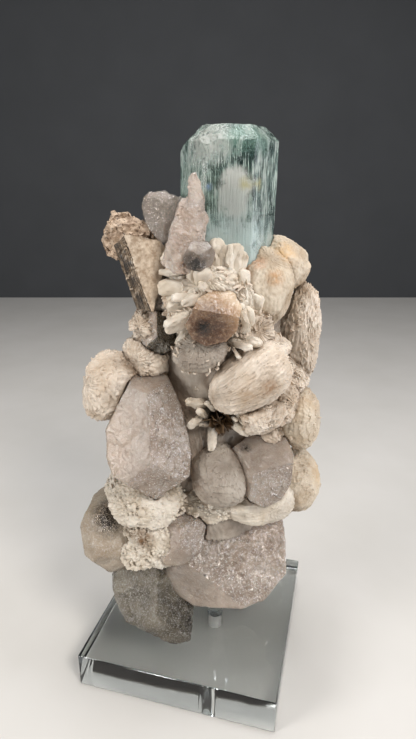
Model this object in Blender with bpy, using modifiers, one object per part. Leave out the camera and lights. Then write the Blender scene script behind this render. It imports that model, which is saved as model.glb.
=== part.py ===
"""A mineral specimen on a clear stand: an aquamarine prism that rises from a column of albite rosettes,
with quartz crystals and a mica book, held on a round rod that is let into a square acrylic block.

Units: the constants are in millimetres, and the scene is in metres with +Z up. The origin is the centre
of the block's underside. The specimen's own axes (X right, Y back, Z up) are turned SPECIMEN_TURN about
+Z on the block.
"""

import math
from dataclasses import dataclass

import bmesh
import bpy
from mathutils import Matrix, Vector, noise

MM = 0.001

# ---- the stand ----
BLOCK_SIDE = 80.0
BLOCK_HEIGHT = 15.0
BLOCK_CHAMFER = 0.6
ROD_RADIUS = 3.0
ROD_AXIS = (6.5, -5.0)  # where the rod stands, in the specimen's axes
ROD_FOOT = 4.0  # height of the rod's lower end, inside the block
ROD_TOP = 46.0  # height of its upper end, inside the albite
ROD_SIDES = 32

SEAT_GAP = 0.3  # air between one solid and the next
SPECIMEN_TURN = math.radians(15)

# ---- the albite rosettes ----
ROSETTE_RINGS = 7
LUMPINESS = 0.06  # how uneven each is, as a share of its radius
RIM_BLUNTNESS = 0.22  # how far each is widest past its middle, towards its rim

# ---- the aquamarine ----
BERYL_FOOT = (9.8, 2.0, 163.0)
BERYL_LEAN = (1.2, 0.0)  # degrees to the right, and back
BERYL_HEIGHT = 48.6
BERYL_APOTHEM = 14.7
BERYL_RIM_ANGLE = 45.0  # between the flat end and the bevels round it
# How far each bevel reaches down, from 30 degrees round.
BERYL_RIM_DROPS = (4.6, 5.2, 5.4, 5.0, 4.8, 4.4)
# The azimuth, angle and drop of each cut corner.
BERYL_CORNER_CUTS = ((180, 45, 7.6), (180, 66, 9.4), (240, 45, 6.8), (120, 45, 7.0))
BERYL_EDGE_CUT = 0.5  # how far each upright edge is cut back

RAW_BLOCK = 240.0  # side of the cube that every crystal is cut from


@dataclass
class Rosette:
    """A ball or fan of albite blades: its ridges run from its root to its rim, which faces `opens`."""

    centre: tuple
    radii: tuple
    opens: tuple = (-90, 20)  # azimuth and elevation: 0 is right, -90 is to the front
    roll: float = 0  # degrees that it leans to the right, about the front-to-back axis
    ridges: int = 9
    depth: float = 0.07  # how deep the furrows between the ridges are, as a share of the radius


@dataclass
class Crystal:
    """A flat-faced crystal, cut from a block.

    Each face is a clock angle (0 right, 90 up), a tilt from the way the crystal looks, and a distance
    from its centre. A tilt of 90 is a side, and less than that is a face of the front.
    """

    centre: tuple
    looks: tuple  # azimuth and elevation of its front
    sides: tuple  # clock angle and distance of each side
    front: tuple  # clock angle, tilt and distance of each front face
    back: float  # distance of its flat back
    rest: tuple = ()  # more faces, as in front


@dataclass
class Blade:
    """A small flat albite crystal that sticks out of the mass."""

    root: tuple
    points: tuple
    size: tuple  # length, width and thickness
    spin: float = 0


CORES = (
    Rosette((2, 0, 76), (24, 17, 46), ridges=6),
    Rosette((8, 0, 136), (22, 15, 37), ridges=6),
)

ROSETTES = {
    # under the aquamarine, and down the right-hand side
    "collar": Rosette((22.5, -7, 158.5), (10.5, 10, 14.5), (-75, 60), 4, 8, 0.05),
    "collar_back": Rosette((30, 4, 165), (10, 10.5, 10.5), (-20, 60), 0, 8, 0.05),
    "right_plate": Rosette((37.5, 3, 140), (8, 12, 19), (-10, 5), 2, 8),
    "right_bud": Rosette((25.5, -13, 140.5), (6.4, 6.5, 4.8), (-50, -20), 25, 6),
    "neck_bud": Rosette((19, -14, 147), (7, 6.5, 7), (-80, 0), 0, 6),
    "shoulder": Rosette((33, -2, 125), (8, 10, 9), (-40, 30), 0, 6),
    "right_ball": Rosette((36.5, -6, 110), (9.4, 11, 12.2), (-20, 0), -10, 8),
    "right_foot": Rosette((36, -3, 80), (12, 12, 13.4), (-20, 20), 20, 8),
    # across the front
    "brow": Rosette((1, -17, 139), (9.6, 9, 7.4), (-100, 40), -15, 8),
    "great_fan": Rosette((17.5, -18, 129.5), (16, 13, 10.5), (15, 20), -38, 10, 0.09),
    "fan_hem": Rosette((22.5, -19, 116.5), (8, 8, 6), (-60, -30), -20, 6),
    "fan_edge": Rosette((30, -10, 119), (7, 9, 9), (-50, 0), 0, 6),
    "disc": Rosette((8, -17, 90), (11.5, 12, 12), (-60, 55), -30, 8, 0.05),
    "left_ball": Rosette((-30.5, -8, 123.5), (11.8, 12, 13.6), (-150, 10), 28, 8),
    "left_neck": Rosette((-9, -3, 152), (9, 9, 12), (-120, 20), 0, 6),
    "left_bridge": Rosette((-14, -1, 166), (7, 7, 8), (-120, 40), 0, 6),
    "left_waist": Rosette((-18, -6, 134), (9, 9, 10), (-120, 0), 0, 6),
    "snow_upper": Rosette((-19, -16, 80), (15, 12, 9.5), (-120, 10), 0, 8),
    "snow_lower": Rosette((-19, -20, 65), (11, 9, 10), (-110, -10), 0, 8),
    "snow_left": Rosette((-30, -12, 83), (6, 6, 6), (-140, 20), 0, 6),
    "snow_edge": Rosette((-25, -21, 71), (7, 6, 6), (-120, 0), 0, 6),
    "snow_foot": Rosette((-23, -23, 60), (6.5, 6, 5), (-120, -20), 0, 6),
    "snow_right": Rosette((22, -10, 78), (16, 12, 10), (-70, 0), 0, 6),
    # round the back
    "back_knob": Rosette((12, 21, 188), (6, 6, 13), (90, 70), 0, 6),
    "back_crown": Rosette((12, 20, 170), (10, 9, 14), (90, 50), 5, 6),
    "back_neck": Rosette((10, 14, 154), (13, 12, 11), (80, 30), 0, 6),
    "back_left_high": Rosette((-9, 9, 148), (12, 11, 12), (130, 30), 0, 6),
    "back_right_high": Rosette((24, 14, 141), (13, 11, 13), (60, 20), 0, 6),
    "back_middle": Rosette((2, 18, 126), (15, 11, 14), (95, 10), 20, 6),
    "back_left": Rosette((-18, 10, 116), (12, 12, 14), (150, 10), 0, 6),
    "back_right": Rosette((24, 12, 108), (14, 12, 14), (45, 0), -20, 6),
    "back_centre": Rosette((4, 18, 100), (13, 11, 14), (95, 0), 20, 6),
    "back_left_low": Rosette((-18, 11, 86), (14, 13, 14), (140, -10), 0, 6),
    "back_low": Rosette((8, 17, 74), (15, 12, 15), (90, -10), 15, 6),
    "back_right_low": Rosette((24, 10, 62), (12, 13, 13), (40, -20), 0, 6),
    "back_foot": Rosette((-4, 11, 52), (15, 12, 12), (100, -35), 0, 6),
}

BLADES = (
    # the spray left of the stained crystal
    Blade((0, -18, 161), (186, 4), (13, 6.4, 4.4), 10),
    Blade((1, -18, 155), (200, -26), (14, 7.0, 4.6), -10),
    Blade((0, -15, 166), (172, 24), (13, 5.4, 3.6), 30),
    Blade((2, -15, 168), (150, 60), (10, 5.0, 3.4), 40),
    Blade((6, -15, 166), (80, 76), (11, 6.0, 3.8), 20),
    Blade((10, -15, 164), (20, 74), (11, 6.4, 4.0), -10),
    Blade((3, -17, 160), (-100, 45), (12, 7.0, 4.0), 15),
    Blade((0, -15, 150), (205, -50), (11, 5.4, 4.0), 20),
    # the upright blades right of it
    Blade((14, -14, 149), (-60, 84), (20, 6.0, 4.6), 25),
    Blade((17, -14, 146), (-50, 70), (15, 6.2, 4.4), -20),
    Blade((11, -14, 142), (-40, 10), (13, 5.0, 4.0), 10),
    # short crystals round the hollow in the middle
    Blade((2, -14, 117), (-140, 25), (12, 4.0, 3.0), 0),
    Blade((2, -14, 112), (-130, 0), (12, 3.6, 3.0), 20),
    Blade((4, -14, 107), (-110, -20), (13, 3.6, 2.8), 10),
    Blade((12, -14, 112), (-60, -8), (13, 3.8, 3.2), 15),
    Blade((14, -14, 116), (-50, 8), (12, 4.0, 3.2), 15),
    Blade((9, -14, 118), (-80, 20), (11, 3.6, 3.0), -15),
)

CRYSTALS = {
    "quartz_left": (
        Crystal(
            (-18, -18, 108),
            (-83, 26),
            (
                (180, 15), (-160, 16.5), (-124, 18.5), (-56, 20.5), (-8, 16),
                (9, 14), (23, 15), (57, 23), (124, 22), (153, 14.5),
            ),
            ((180, 30, 11), (0, 32, 11), (-85, 42, 16), (90, 45, 19)),
            11,
        ),
    ),
    "quartz_right": (
        Crystal(
            (21.5, -17, 92.5),
            (-96, 30),
            (
                (-147, 9.5), (-134, 9.5), (-106, 11.5), (-63, 13), (-28, 13),
                (-3, 13), (24, 15), (89, 13.5), (129, 12.5),
            ),
            ((80, 28, 9), (-50, 32, 9), (-165, 42, 8.5)),
            9,
        ),
    ),
    "quartz_lower_left": (
        Crystal(
            (-34.5, -12, 62.5),
            (-78, 36),
            (
                (-173, 12.5), (-130, 13.5), (-77, 14.5), (-48, 13.5), (-5, 13),
                (37, 13.5), (62, 15.5), (115, 17), (152, 13.5),
            ),
            ((0, 6, 9), (180, 50, 12), (120, 48, 13.5), (-95, 45, 13)),
            10,
        ),
    ),
    "quartz_base": (
        Crystal(
            (7, -8, 48.5),
            (-91, 39),
            (
                (-145, 24.5), (-122, 22), (-90, 20.5), (-69, 22.5), (-44, 25),
                (-2, 27.5), (47, 29), (87, 22.5), (124, 28), (180, 27),
            ),
            ((30, 14, 15), (-120, 46, 19.5), (50, 45, 23), (-170, 45, 22)),
            12,
        ),
        Crystal(
            (-8, -20, 65.5),
            (-86, 37),
            (
                (180, 10.5), (-137, 10.5), (-99, 10.5), (-54, 9.5),
                (-14, 10), (42, 11), (83, 11), (126, 12.5),
            ),
            ((180, 28, 8), (-10, 34, 8), (-80, 48, 9), (80, 45, 9)),
            12,
        ),
    ),
    "quartz_foot": (
        Crystal(
            (-17, -18, 33.5),
            (-83, 43),
            (
                (176, 18.5), (-157, 14.5), (-118, 12), (-86, 16.5), (-7, 14),
                (17, 16), (48, 13.5), (78, 15.5), (133, 20.5),
            ),
            ((-170, 34, 11.5), (-15, 34, 11), (-90, 50, 13)),
            9,
            ((-90, 133, 13.5),),
        ),
    ),
    "quartz_spire": (
        Crystal(
            (-4, -18, 178.5),
            (-88, 5),
            ((160, 4.5), (-127, 12), (-83, 12), (-25, 7), (-8, 7), (22, 9), (57, 11), (123, 9.5)),
            ((180, 45, 6), (0, 42, 5.8), (0, 0, 4.2), (90, 62, 9.5)),
            4.5,
        ),
        Crystal(
            (-0.6, -18, 187.5),
            (-89, 1),
            ((175, 2.6), (135, 7), (95, 9.4), (21, 3.8), (-5, 3), (-60, 9), (-120, 9)),
            ((180, 55, 2.8), (0, 50, 2.8), (0, 0, 2.2)),
            2.4,
        ),
    ),
    "smoky_quartz_small": (
        Crystal(
            (0.5, -23, 172.5),
            (-89, 7),
            ((154, 4), (93, 4.5), (34, 5), (-16, 5), (-68, 4.5), (-99, 4.5), (-160, 5)),
            ((90, 38, 3.8), (-30, 38, 3.8), (-150, 38, 3.8)),
            4.5,
        ),
    ),
    "smoky_quartz_tall": (
        Crystal(
            (-11.5, -5, 182.5),
            (-85, 3),
            ((-171, 6.5), (-139, 6), (-105, 7), (-27, 7), (-1, 7), (65, 8.5), (94, 9), (141, 9)),
            ((180, 36, 5.5), (0, 36, 5), (90, 58, 8)),
            5,
        ),
    ),
    "stained_quartz": (
        Crystal(
            (5.5, -24, 153),
            (-91, 14),
            (
                (-155, 9.5), (-118, 9.5), (-78, 8.5), (-40, 8), (-14, 8),
                (26, 9.5), (74, 9.5), (123, 8), (154, 7.5),
            ),
            ((-90, 24, 6), (75, 40, 6.5)),
            6,
        ),
    ),
    "grey_quartz": (
        Crystal(
            (-14, -10, 143),
            (-84, 16),
            ((174, 9), (-157, 6.5), (-127, 6), (-56, 6.5), (-18, 7.5), (54, 8), (89, 8.5)),
            ((180, 40, 6), (0, 36, 5.5), (-90, 46, 5.5)),
            5,
        ),
    ),
    "mica_book": (
        Crystal(
            (-18.5, -13, 165),
            (-83, 9),
            ((130, 13), (81, 12), (42, 12), (-16, 6.5), (-104, 11.5), (-160, 6.5)),
            ((5, 26, 4), (-158, 50, 4.6)),
            6,
            ((-175, 154, 2.5),),
        ),
    ),
    "feldspar_crystal": (
        Crystal(
            (-23, -2, 176),
            (-82, 5),
            ((-162, 11), (-112, 9.5), (-87, 8.5), (-45, 10), (47, 6), (90, 9), (156, 10)),
            ((90, 40, 6.5), (-60, 30, 6.5), (180, 38, 7.5)),
            6,
        ),
    ),
}

# A crystal that grew later is cut back where it meets one that was there before it.
GREW_AGAINST = {
    "quartz_foot": ("quartz_base", "quartz_lower_left"),
    "smoky_quartz_tall": ("quartz_spire", "mica_book", "aquamarine"),
    "smoky_quartz_small": ("quartz_spire", "aquamarine"),
    "quartz_spire": ("aquamarine",),
    "feldspar_crystal": ("mica_book", "smoky_quartz_tall"),
    "grey_quartz": ("mica_book",),
    "quartz_base": ("quartz_lower_left",),
}


def direction(azimuth, elevation):
    """The unit vector at an azimuth, 0 to the right and 90 to the back, and an elevation, in degrees."""
    turn, rise = math.radians(azimuth), math.radians(elevation)
    return Vector((math.cos(turn) * math.cos(rise), math.sin(turn) * math.cos(rise), math.sin(rise)))


def standing_along(axis):
    """The rotation that carries +Z onto an axis."""
    return Vector((0, 0, 1)).rotation_difference(axis).to_matrix()


def clear_scene():
    for obj in list(bpy.data.objects):
        bpy.data.objects.remove(obj, do_unlink=True)


def new_collection(name):
    collection = bpy.data.collections.new(name)
    bpy.context.scene.collection.children.link(collection)
    return collection


def new_material(name, colour, roughness, metallic=0.0, transmission=0.0, ior=1.5):
    material = bpy.data.materials.new(name)
    material.use_nodes = True
    shader = material.node_tree.nodes["Principled BSDF"]
    shader.inputs["Base Color"].default_value = (*colour, 1.0)
    shader.inputs["Roughness"].default_value = roughness
    shader.inputs["Metallic"].default_value = metallic
    shader.inputs["Transmission Weight"].default_value = transmission
    shader.inputs["IOR"].default_value = ior
    material.diffuse_color = (*colour, 1.0)
    return material


def object_from(bm, name, collection, material=None):
    """Ends a bmesh, whose lengths are in millimetres, as a named object in metres."""
    bmesh.ops.scale(bm, vec=(MM, MM, MM), verts=bm.verts)
    bmesh.ops.recalc_face_normals(bm, faces=bm.faces)
    mesh = bpy.data.meshes.new(name)
    bm.to_mesh(mesh)
    bm.free()
    if material:
        mesh.materials.append(material)
    obj = bpy.data.objects.new(name, mesh)
    collection.objects.link(obj)
    return obj


def as_helper(obj):
    """Marks a cutter or a guide, which is no part of the model."""
    obj.hide_render = True
    obj.display_type = "WIRE"
    return obj


def cut_faces(bm, centre, faces):
    """Cuts a convex body down to its faces, each a normal and a distance from the centre."""
    for normal, distance in faces:
        cut = bmesh.ops.bisect_plane(
            bm,
            geom=bm.verts[:] + bm.edges[:] + bm.faces[:],
            dist=1e-5,
            plane_co=Vector(centre) + normal * distance,
            plane_no=normal,
            clear_outer=True,
        )
        rim = [e for e in cut["geom_cut"] if isinstance(e, bmesh.types.BMEdge)]
        if rim:
            bmesh.ops.contextual_create(bm, geom=rim)


def crystal_mesh(centre, faces):
    bm = bmesh.new()
    bmesh.ops.create_cube(bm, size=RAW_BLOCK, matrix=Matrix.Translation(centre))
    cut_faces(bm, centre, faces)
    return bm


def crystal_faces(crystal, gap):
    """The faces of a crystal, each pushed out by a gap."""
    look = direction(*crystal.looks)
    up = (Vector((0, 0, 1)) - look * look.z).normalized()
    right = up.cross(look)
    listed = [(clock, 90, distance) for clock, distance in crystal.sides]
    listed += [*crystal.front, *crystal.rest, (0, 180, crystal.back)]
    faces = []
    for clock, tilt, distance in listed:
        clock, tilt = math.radians(clock), math.radians(tilt)
        across = right * math.cos(clock) + up * math.sin(clock)
        faces.append((look * math.cos(tilt) + across * math.sin(tilt), distance + gap))
    return faces


def beryl_faces(gap):
    """Six sides, six narrow upright edges, and the bevels and cut corners round the flat top."""
    axis = beryl_axis()
    stand = standing_along(axis)
    corner = BERYL_APOTHEM / math.cos(math.radians(30))
    rim = math.radians(BERYL_RIM_ANGLE)
    half = BERYL_HEIGHT / 2
    faces = [(axis, half + gap), (-axis, half + gap)]
    for i, drop in enumerate(BERYL_RIM_DROPS):
        side = stand @ direction(30 + 60 * i, 0)
        edge = stand @ direction(60 * i, 0)
        faces.append((side, BERYL_APOTHEM + gap))
        faces.append((edge, corner - BERYL_EDGE_CUT + gap))
        reach = BERYL_APOTHEM * math.sin(rim) + (half - drop) * math.cos(rim)
        faces.append((side * math.sin(rim) + axis * math.cos(rim), reach + gap))
    for azimuth, angle, drop in BERYL_CORNER_CUTS:
        edge = stand @ direction(azimuth, 0)
        cut = math.radians(angle)
        reach = corner * math.sin(cut) + (half - drop) * math.cos(cut)
        faces.append((edge * math.sin(cut) + axis * math.cos(cut), reach + gap))
    return faces


def beryl_axis():
    lean_right, lean_back = (math.tan(math.radians(a)) for a in BERYL_LEAN)
    return Vector((lean_right, lean_back, 1)).normalized()


def beryl_centre():
    return Vector(BERYL_FOOT) + beryl_axis() * BERYL_HEIGHT / 2


def rosette_mesh(rosette):
    """A ball whose meridians are pulled in by turns, which leaves ridges from its root to its rim."""
    bm = bmesh.new()
    bmesh.ops.create_uvsphere(bm, u_segments=2 * rosette.ridges, v_segments=ROSETTE_RINGS, radius=1)
    for vert in bm.verts:
        turn = math.atan2(vert.co.y, vert.co.x)
        furrow = 0.5 - 0.5 * math.cos(turn * rosette.ridges)
        lump = noise.noise(vert.co * 1.7 + Vector(rosette.centre))
        flat = math.hypot(vert.co.x, vert.co.y)
        vert.co *= 1 - rosette.depth * furrow * flat + LUMPINESS * lump
        vert.co.z += RIM_BLUNTNESS * (1 - vert.co.z**2)
    place = (
        Matrix.Translation(rosette.centre)
        @ Matrix.Rotation(math.radians(rosette.roll), 4, "Y")
        @ Matrix.Diagonal((*rosette.radii, 1))
        @ Matrix.Rotation(-math.radians(rosette.roll), 4, "Y")
        @ standing_along(direction(*rosette.opens)).to_4x4()
    )
    bmesh.ops.transform(bm, matrix=place, verts=bm.verts)
    return bm


def blade_mesh(blade):
    """A flat bar with a slanted end, standing on its root."""
    length, width, thickness = blade.size
    bm = bmesh.new()
    bmesh.ops.create_cube(bm, size=1)
    bmesh.ops.translate(bm, vec=(0, 0, 0.5), verts=bm.verts)
    bmesh.ops.scale(bm, vec=(width, thickness, length), verts=bm.verts)
    for vert in bm.verts:
        if vert.co.z > 0:
            vert.co.z -= 0.25 * vert.co.x
            vert.co.y *= 0.75
    place = (
        Matrix.Translation(blade.root)
        @ standing_along(direction(*blade.points)).to_4x4()
        @ Matrix.Rotation(math.radians(blade.spin), 4, "Z")
    )
    bmesh.ops.transform(bm, matrix=place, verts=bm.verts)
    return bm


def add_boolean(obj, name, operation, collection):
    modifier = obj.modifiers.new(name, "BOOLEAN")
    modifier.operation = operation
    modifier.operand_type = "COLLECTION"
    modifier.collection = collection
    modifier.solver = "EXACT"


def keep_largest_body(obj):
    """Applies the modifiers and drops the crumbs that a socket cut off from the main mass."""
    graph = bpy.context.evaluated_depsgraph_get()
    mesh = bpy.data.meshes.new_from_object(obj.evaluated_get(graph))
    obj.modifiers.clear()
    bm = bmesh.new()
    bm.from_mesh(mesh)
    left, bodies = set(bm.verts), []
    while left:
        body, edge_of_body = set(), [left.pop()]
        while edge_of_body:
            vert = edge_of_body.pop()
            body.add(vert)
            for edge in vert.link_edges:
                other = edge.other_vert(vert)
                if other in left:
                    left.remove(other)
                    edge_of_body.append(other)
        bodies.append(body)
    largest = max(bodies, key=len)
    crumbs = [v for body in bodies if body is not largest for v in body]
    bmesh.ops.delete(bm, geom=crumbs, context="VERTS")
    bm.to_mesh(mesh)
    bm.free()
    mesh.materials.clear()
    for material in obj.data.materials:
        mesh.materials.append(material)
    obj.data = mesh


def cylinder(name, collection, radius, bottom, top, material=None):
    bm = bmesh.new()
    middle = Matrix.Translation((*ROD_AXIS, (bottom + top) / 2))
    bmesh.ops.create_cone(
        bm,
        cap_ends=True,
        segments=ROD_SIDES,
        radius1=radius,
        radius2=radius,
        depth=top - bottom,
        matrix=middle,
    )
    return object_from(bm, name, collection, material)


def build_stand(part, cutters, specimen, acrylic):
    bm = bmesh.new()
    bmesh.ops.create_cube(bm, size=1)
    bmesh.ops.translate(bm, vec=(0, 0, 0.5), verts=bm.verts)
    bmesh.ops.scale(bm, vec=(BLOCK_SIDE, BLOCK_SIDE, BLOCK_HEIGHT), verts=bm.verts)
    block = object_from(bm, "acrylic_block", part, acrylic)
    edges = block.modifiers.new("edges", "BEVEL")
    edges.width = BLOCK_CHAMFER * MM
    edges.segments = 1
    cylinder("acrylic_rod", part, ROD_RADIUS, ROD_FOOT, ROD_TOP, acrylic)
    hole = as_helper(
        cylinder("rod_hole", cutters, ROD_RADIUS + SEAT_GAP, ROD_FOOT - SEAT_GAP, BLOCK_HEIGHT + 10)
    )
    drill = block.modifiers.new("rod hole", "BOOLEAN")
    drill.operation = "DIFFERENCE"
    drill.object = hole


def add_sockets(name, sockets):
    """The body of a crystal, a gap larger, as the cutter of what it sits in."""
    own = bpy.data.collections.new(name + "_socket")
    sockets.children.link(own)
    if name == "aquamarine":
        bodies = [(beryl_centre(), beryl_faces(SEAT_GAP))]
    else:
        bodies = [(c.centre, crystal_faces(c, SEAT_GAP)) for c in CRYSTALS[name]]
    for i, (centre, faces) in enumerate(bodies):
        as_helper(object_from(crystal_mesh(centre, faces), f"{name}_socket_{i}", own))
    return own


def build_crystal(name, part, pieces, material):
    """One crystal, or several grown together as one solid."""
    first, *rest = (crystal_mesh(c.centre, crystal_faces(c, 0)) for c in CRYSTALS[name])
    obj = object_from(first, name, part, material)
    if rest:
        grown = bpy.data.collections.new(name + "_twins")
        pieces.children.link(grown)
        for i, bm in enumerate(rest):
            as_helper(object_from(bm, f"{name}_twin_{i}", grown))
        add_boolean(obj, "twins", "UNION", grown)
    return obj


def main():
    clear_scene()
    part = new_collection("aquamarine_specimen")
    cutters = new_collection("cutters")
    lumps, sockets = (bpy.data.collections.new(n) for n in ("albite_lumps", "sockets"))
    cutters.children.link(lumps)
    cutters.children.link(sockets)
    specimen = bpy.data.objects.new("specimen_axes", None)
    part.objects.link(specimen)

    acrylic = new_material("acrylic", (0.93, 0.95, 0.96), 0.03, transmission=1.0, ior=1.49)
    beryl = new_material("aquamarine", (0.62, 0.84, 0.82), 0.04, transmission=1.0, ior=1.58)
    albite = new_material("albite", (0.84, 0.80, 0.75), 0.75)
    quartz = new_material("quartz", (0.78, 0.70, 0.64), 0.25, transmission=0.6, ior=1.54)
    mica = new_material("mica", (0.42, 0.36, 0.30), 0.35)
    feldspar = new_material("feldspar", (0.75, 0.62, 0.52), 0.8)

    build_stand(part, cutters, specimen, acrylic)
    socket_of = {name: add_sockets(name, sockets) for name in ("aquamarine", *CRYSTALS)}
    object_from(crystal_mesh(beryl_centre(), beryl_faces(0)), "aquamarine", part, beryl)
    made_of = {"mica_book": mica, "feldspar_crystal": feldspar}
    for name in CRYSTALS:
        crystal = build_crystal(name, part, cutters, made_of.get(name, quartz))
        for neighbour in GREW_AGAINST.get(name, ()):
            add_boolean(crystal, "against " + neighbour, "DIFFERENCE", socket_of[neighbour])

    matrix = object_from(rosette_mesh(CORES[0]), "albite_matrix", part, albite)
    for i, core in enumerate(CORES[1:]):
        as_helper(object_from(rosette_mesh(core), f"core_{i}", lumps))
    for name, rosette in ROSETTES.items():
        as_helper(object_from(rosette_mesh(rosette), name, lumps))
    for i, blade in enumerate(BLADES):
        as_helper(object_from(blade_mesh(blade), f"blade_{i}", lumps))
    rod_socket = bpy.data.collections.new("rod_socket")
    sockets.children.link(rod_socket)
    as_helper(cylinder("rod_bore", rod_socket, ROD_RADIUS + SEAT_GAP, 0, ROD_TOP + SEAT_GAP))
    add_boolean(bpy.data.objects["quartz_base"], "rod bore", "DIFFERENCE", rod_socket)
    add_boolean(matrix, "lumps", "UNION", lumps)
    add_boolean(matrix, "sockets", "DIFFERENCE", sockets)
    bpy.context.view_layer.update()
    keep_largest_body(matrix)
    for obj in bpy.data.objects:
        if obj.name not in ("acrylic_block", "specimen_axes"):
            obj.parent = specimen
    specimen.rotation_euler.z = SPECIMEN_TURN


main()
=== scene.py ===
"""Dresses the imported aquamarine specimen: the beryl, its albite and quartz, the mica, and the clear stand.

Unless a name says otherwise, a length is in millimetres in the specimen's own axes: X to the right, Y to
the back and Z up from the underside of the stand. The stand's own axes are the scene's, and the specimen
has SPECIMEN_TURN on it.
"""

import itertools
import logging
import math
from dataclasses import dataclass, field, replace
from enum import Enum

import bmesh
import bpy
import numpy as np
from bmesh.types import BMEdge, BMesh, BMFace
from bpy.types import Material, Mesh, Node, NodeSocket, NodeTree, Object
from mathutils import Matrix, Vector


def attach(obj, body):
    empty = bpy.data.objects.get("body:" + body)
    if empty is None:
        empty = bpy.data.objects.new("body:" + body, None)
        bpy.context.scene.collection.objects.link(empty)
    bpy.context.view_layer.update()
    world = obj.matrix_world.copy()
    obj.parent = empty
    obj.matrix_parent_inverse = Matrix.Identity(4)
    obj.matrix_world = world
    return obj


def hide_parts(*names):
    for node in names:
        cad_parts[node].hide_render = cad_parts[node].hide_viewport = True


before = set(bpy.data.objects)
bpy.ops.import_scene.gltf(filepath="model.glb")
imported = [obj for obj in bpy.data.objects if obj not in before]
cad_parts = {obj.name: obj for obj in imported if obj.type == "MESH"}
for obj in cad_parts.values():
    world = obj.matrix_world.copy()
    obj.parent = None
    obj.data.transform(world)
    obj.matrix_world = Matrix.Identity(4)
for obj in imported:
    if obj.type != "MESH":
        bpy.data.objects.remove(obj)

log = logging.getLogger("specimen")

MM = 0.001
SPECIMEN_TURN = Matrix.Rotation(math.radians(15), 4, "Z")
SPECIMEN_PLACE = SPECIMEN_TURN @ Matrix.Scale(MM, 4)
STAND_PLACE = Matrix.Scale(MM, 4)


# ---------- Directions, noise and faces ----------


def direction(azimuth: float, elevation: float) -> Vector:
    """Gives the unit vector at an azimuth and an elevation.

    Args:
        azimuth: Degrees, 0 to the right and 90 to the back.
        elevation: Degrees above the level.

    Returns:
        The unit vector.
    """
    turn, rise = math.radians(azimuth), math.radians(elevation)
    return Vector((math.cos(turn) * math.cos(rise), math.sin(turn) * math.cos(rise), math.sin(rise)))


def standing_along(axis: Vector) -> Matrix:
    """Gives the smallest rotation that carries +Z onto an axis."""
    return Vector((0, 0, 1)).rotation_difference(axis).to_matrix()


def lattice_noise(points: np.ndarray, size: float, seed: int = 0) -> np.ndarray:
    """Smooth noise between -1 and 1 at each point.

    Args:
        points: An array of shape (n, 3).
        size: How far apart its hills are.
        seed: Picks one of many such noises.

    Returns:
        An array of shape (n,).
    """
    cell = np.floor(points / size).astype(np.int64)
    part = points / size - cell
    part = part * part * (3 - 2 * part)
    total = np.zeros(len(points))
    for corner in itertools.product((0, 1), repeat=3):
        weight = np.prod(np.where(corner, part, 1 - part), axis=1)
        total += weight * cell_value(cell + corner, seed)
    return total


HASH_SEED, HASH_CELL, HASH_MIX = 374761393, 668265263, 1274126177  # odd numbers that scatter the bits
WORD, HALF_WORD = 0xFFFFFFFF, 0xFFFF


def cell_value(cell: np.ndarray, seed: int) -> np.ndarray:
    """Picks a fixed random number for each cell of a lattice.

    Args:
        cell: Whole-number cells, of shape (n, k).
        seed: Picks one of many such sets.

    Returns:
        Numbers between -1 and 1, of shape (n,).
    """
    mixed = np.full(len(cell), HASH_SEED * (seed + 1), np.int64)
    for column in cell.T:
        mixed = (mixed ^ (column * HASH_CELL)) & WORD
        mixed = ((mixed ^ (mixed >> 13)) * HASH_MIX) & WORD
        mixed ^= mixed >> 16
    return (mixed & HALF_WORD) / (HALF_WORD / 2) - 1


GRAIN_STRAY = 0.4  # how far a grain's middle strays from its cell's
GRAIN_STEP = 0.5  # how much a grain stands above or below its neighbours


def facet_noise(points: np.ndarray, size: float, seed: int = 0) -> np.ndarray:
    """Noise made of tilted flat facets, one to a cell, as crystal grains have.

    Args:
        points: An array of shape (n, 3).
        size: The size of a grain.
        seed: Picks one of many such noises.

    Returns:
        Heights between about -1 and 1, of shape (n,).
    """
    home = np.floor(points / size - 0.5).astype(np.int64)
    nearest = np.full(len(points), np.inf)
    height = np.zeros(len(points))
    for step in itertools.product((0, 1), repeat=3):
        cell = home + step
        jitter = np.stack([cell_value(cell, seed + k) for k in range(3)], axis=1) * GRAIN_STRAY
        offset = points / size - cell - 0.5 - jitter
        gap = (offset**2).sum(axis=1)
        tilt = np.stack([cell_value(cell, seed + 3 + k) for k in range(3)], axis=1)
        closer = gap < nearest
        nearest = np.where(closer, gap, nearest)
        facet = (offset * tilt).sum(axis=1) + GRAIN_STEP * cell_value(cell, seed + 7)
        height = np.where(closer, facet, height)
    return height


@dataclass(frozen=True)
class Crystal:
    """A flat-faced crystal.

    A face is a clock angle, 0 to the right and 90 up, then its tilt from the front, and its distance from
    the centre. The sides are square to the front and give no tilt.
    """

    centre: tuple
    looks: tuple  # azimuth and elevation that its front faces
    sides: tuple
    front: tuple
    back: float  # distance of its back
    rest: tuple = ()

    def faces(self) -> list[tuple[Vector, float]]:
        """Lists its faces: sides, front, rest and back.

        Returns:
            A normal and a distance from the centre for each face.
        """
        look = direction(*self.looks)
        up = (Vector((0, 0, 1)) - look * look.z).normalized()
        right = up.cross(look)
        listed = [(clock, 90, distance) for clock, distance in self.sides]
        listed += [*self.front, *self.rest, (0, 180, self.back)]
        faces = []
        for clock, tilt, distance in listed:
            clock, tilt = math.radians(clock), math.radians(tilt)
            across = right * math.cos(clock) + up * math.sin(clock)
            faces.append((look * math.cos(tilt) + across * math.sin(tilt), distance))
        return faces


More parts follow.
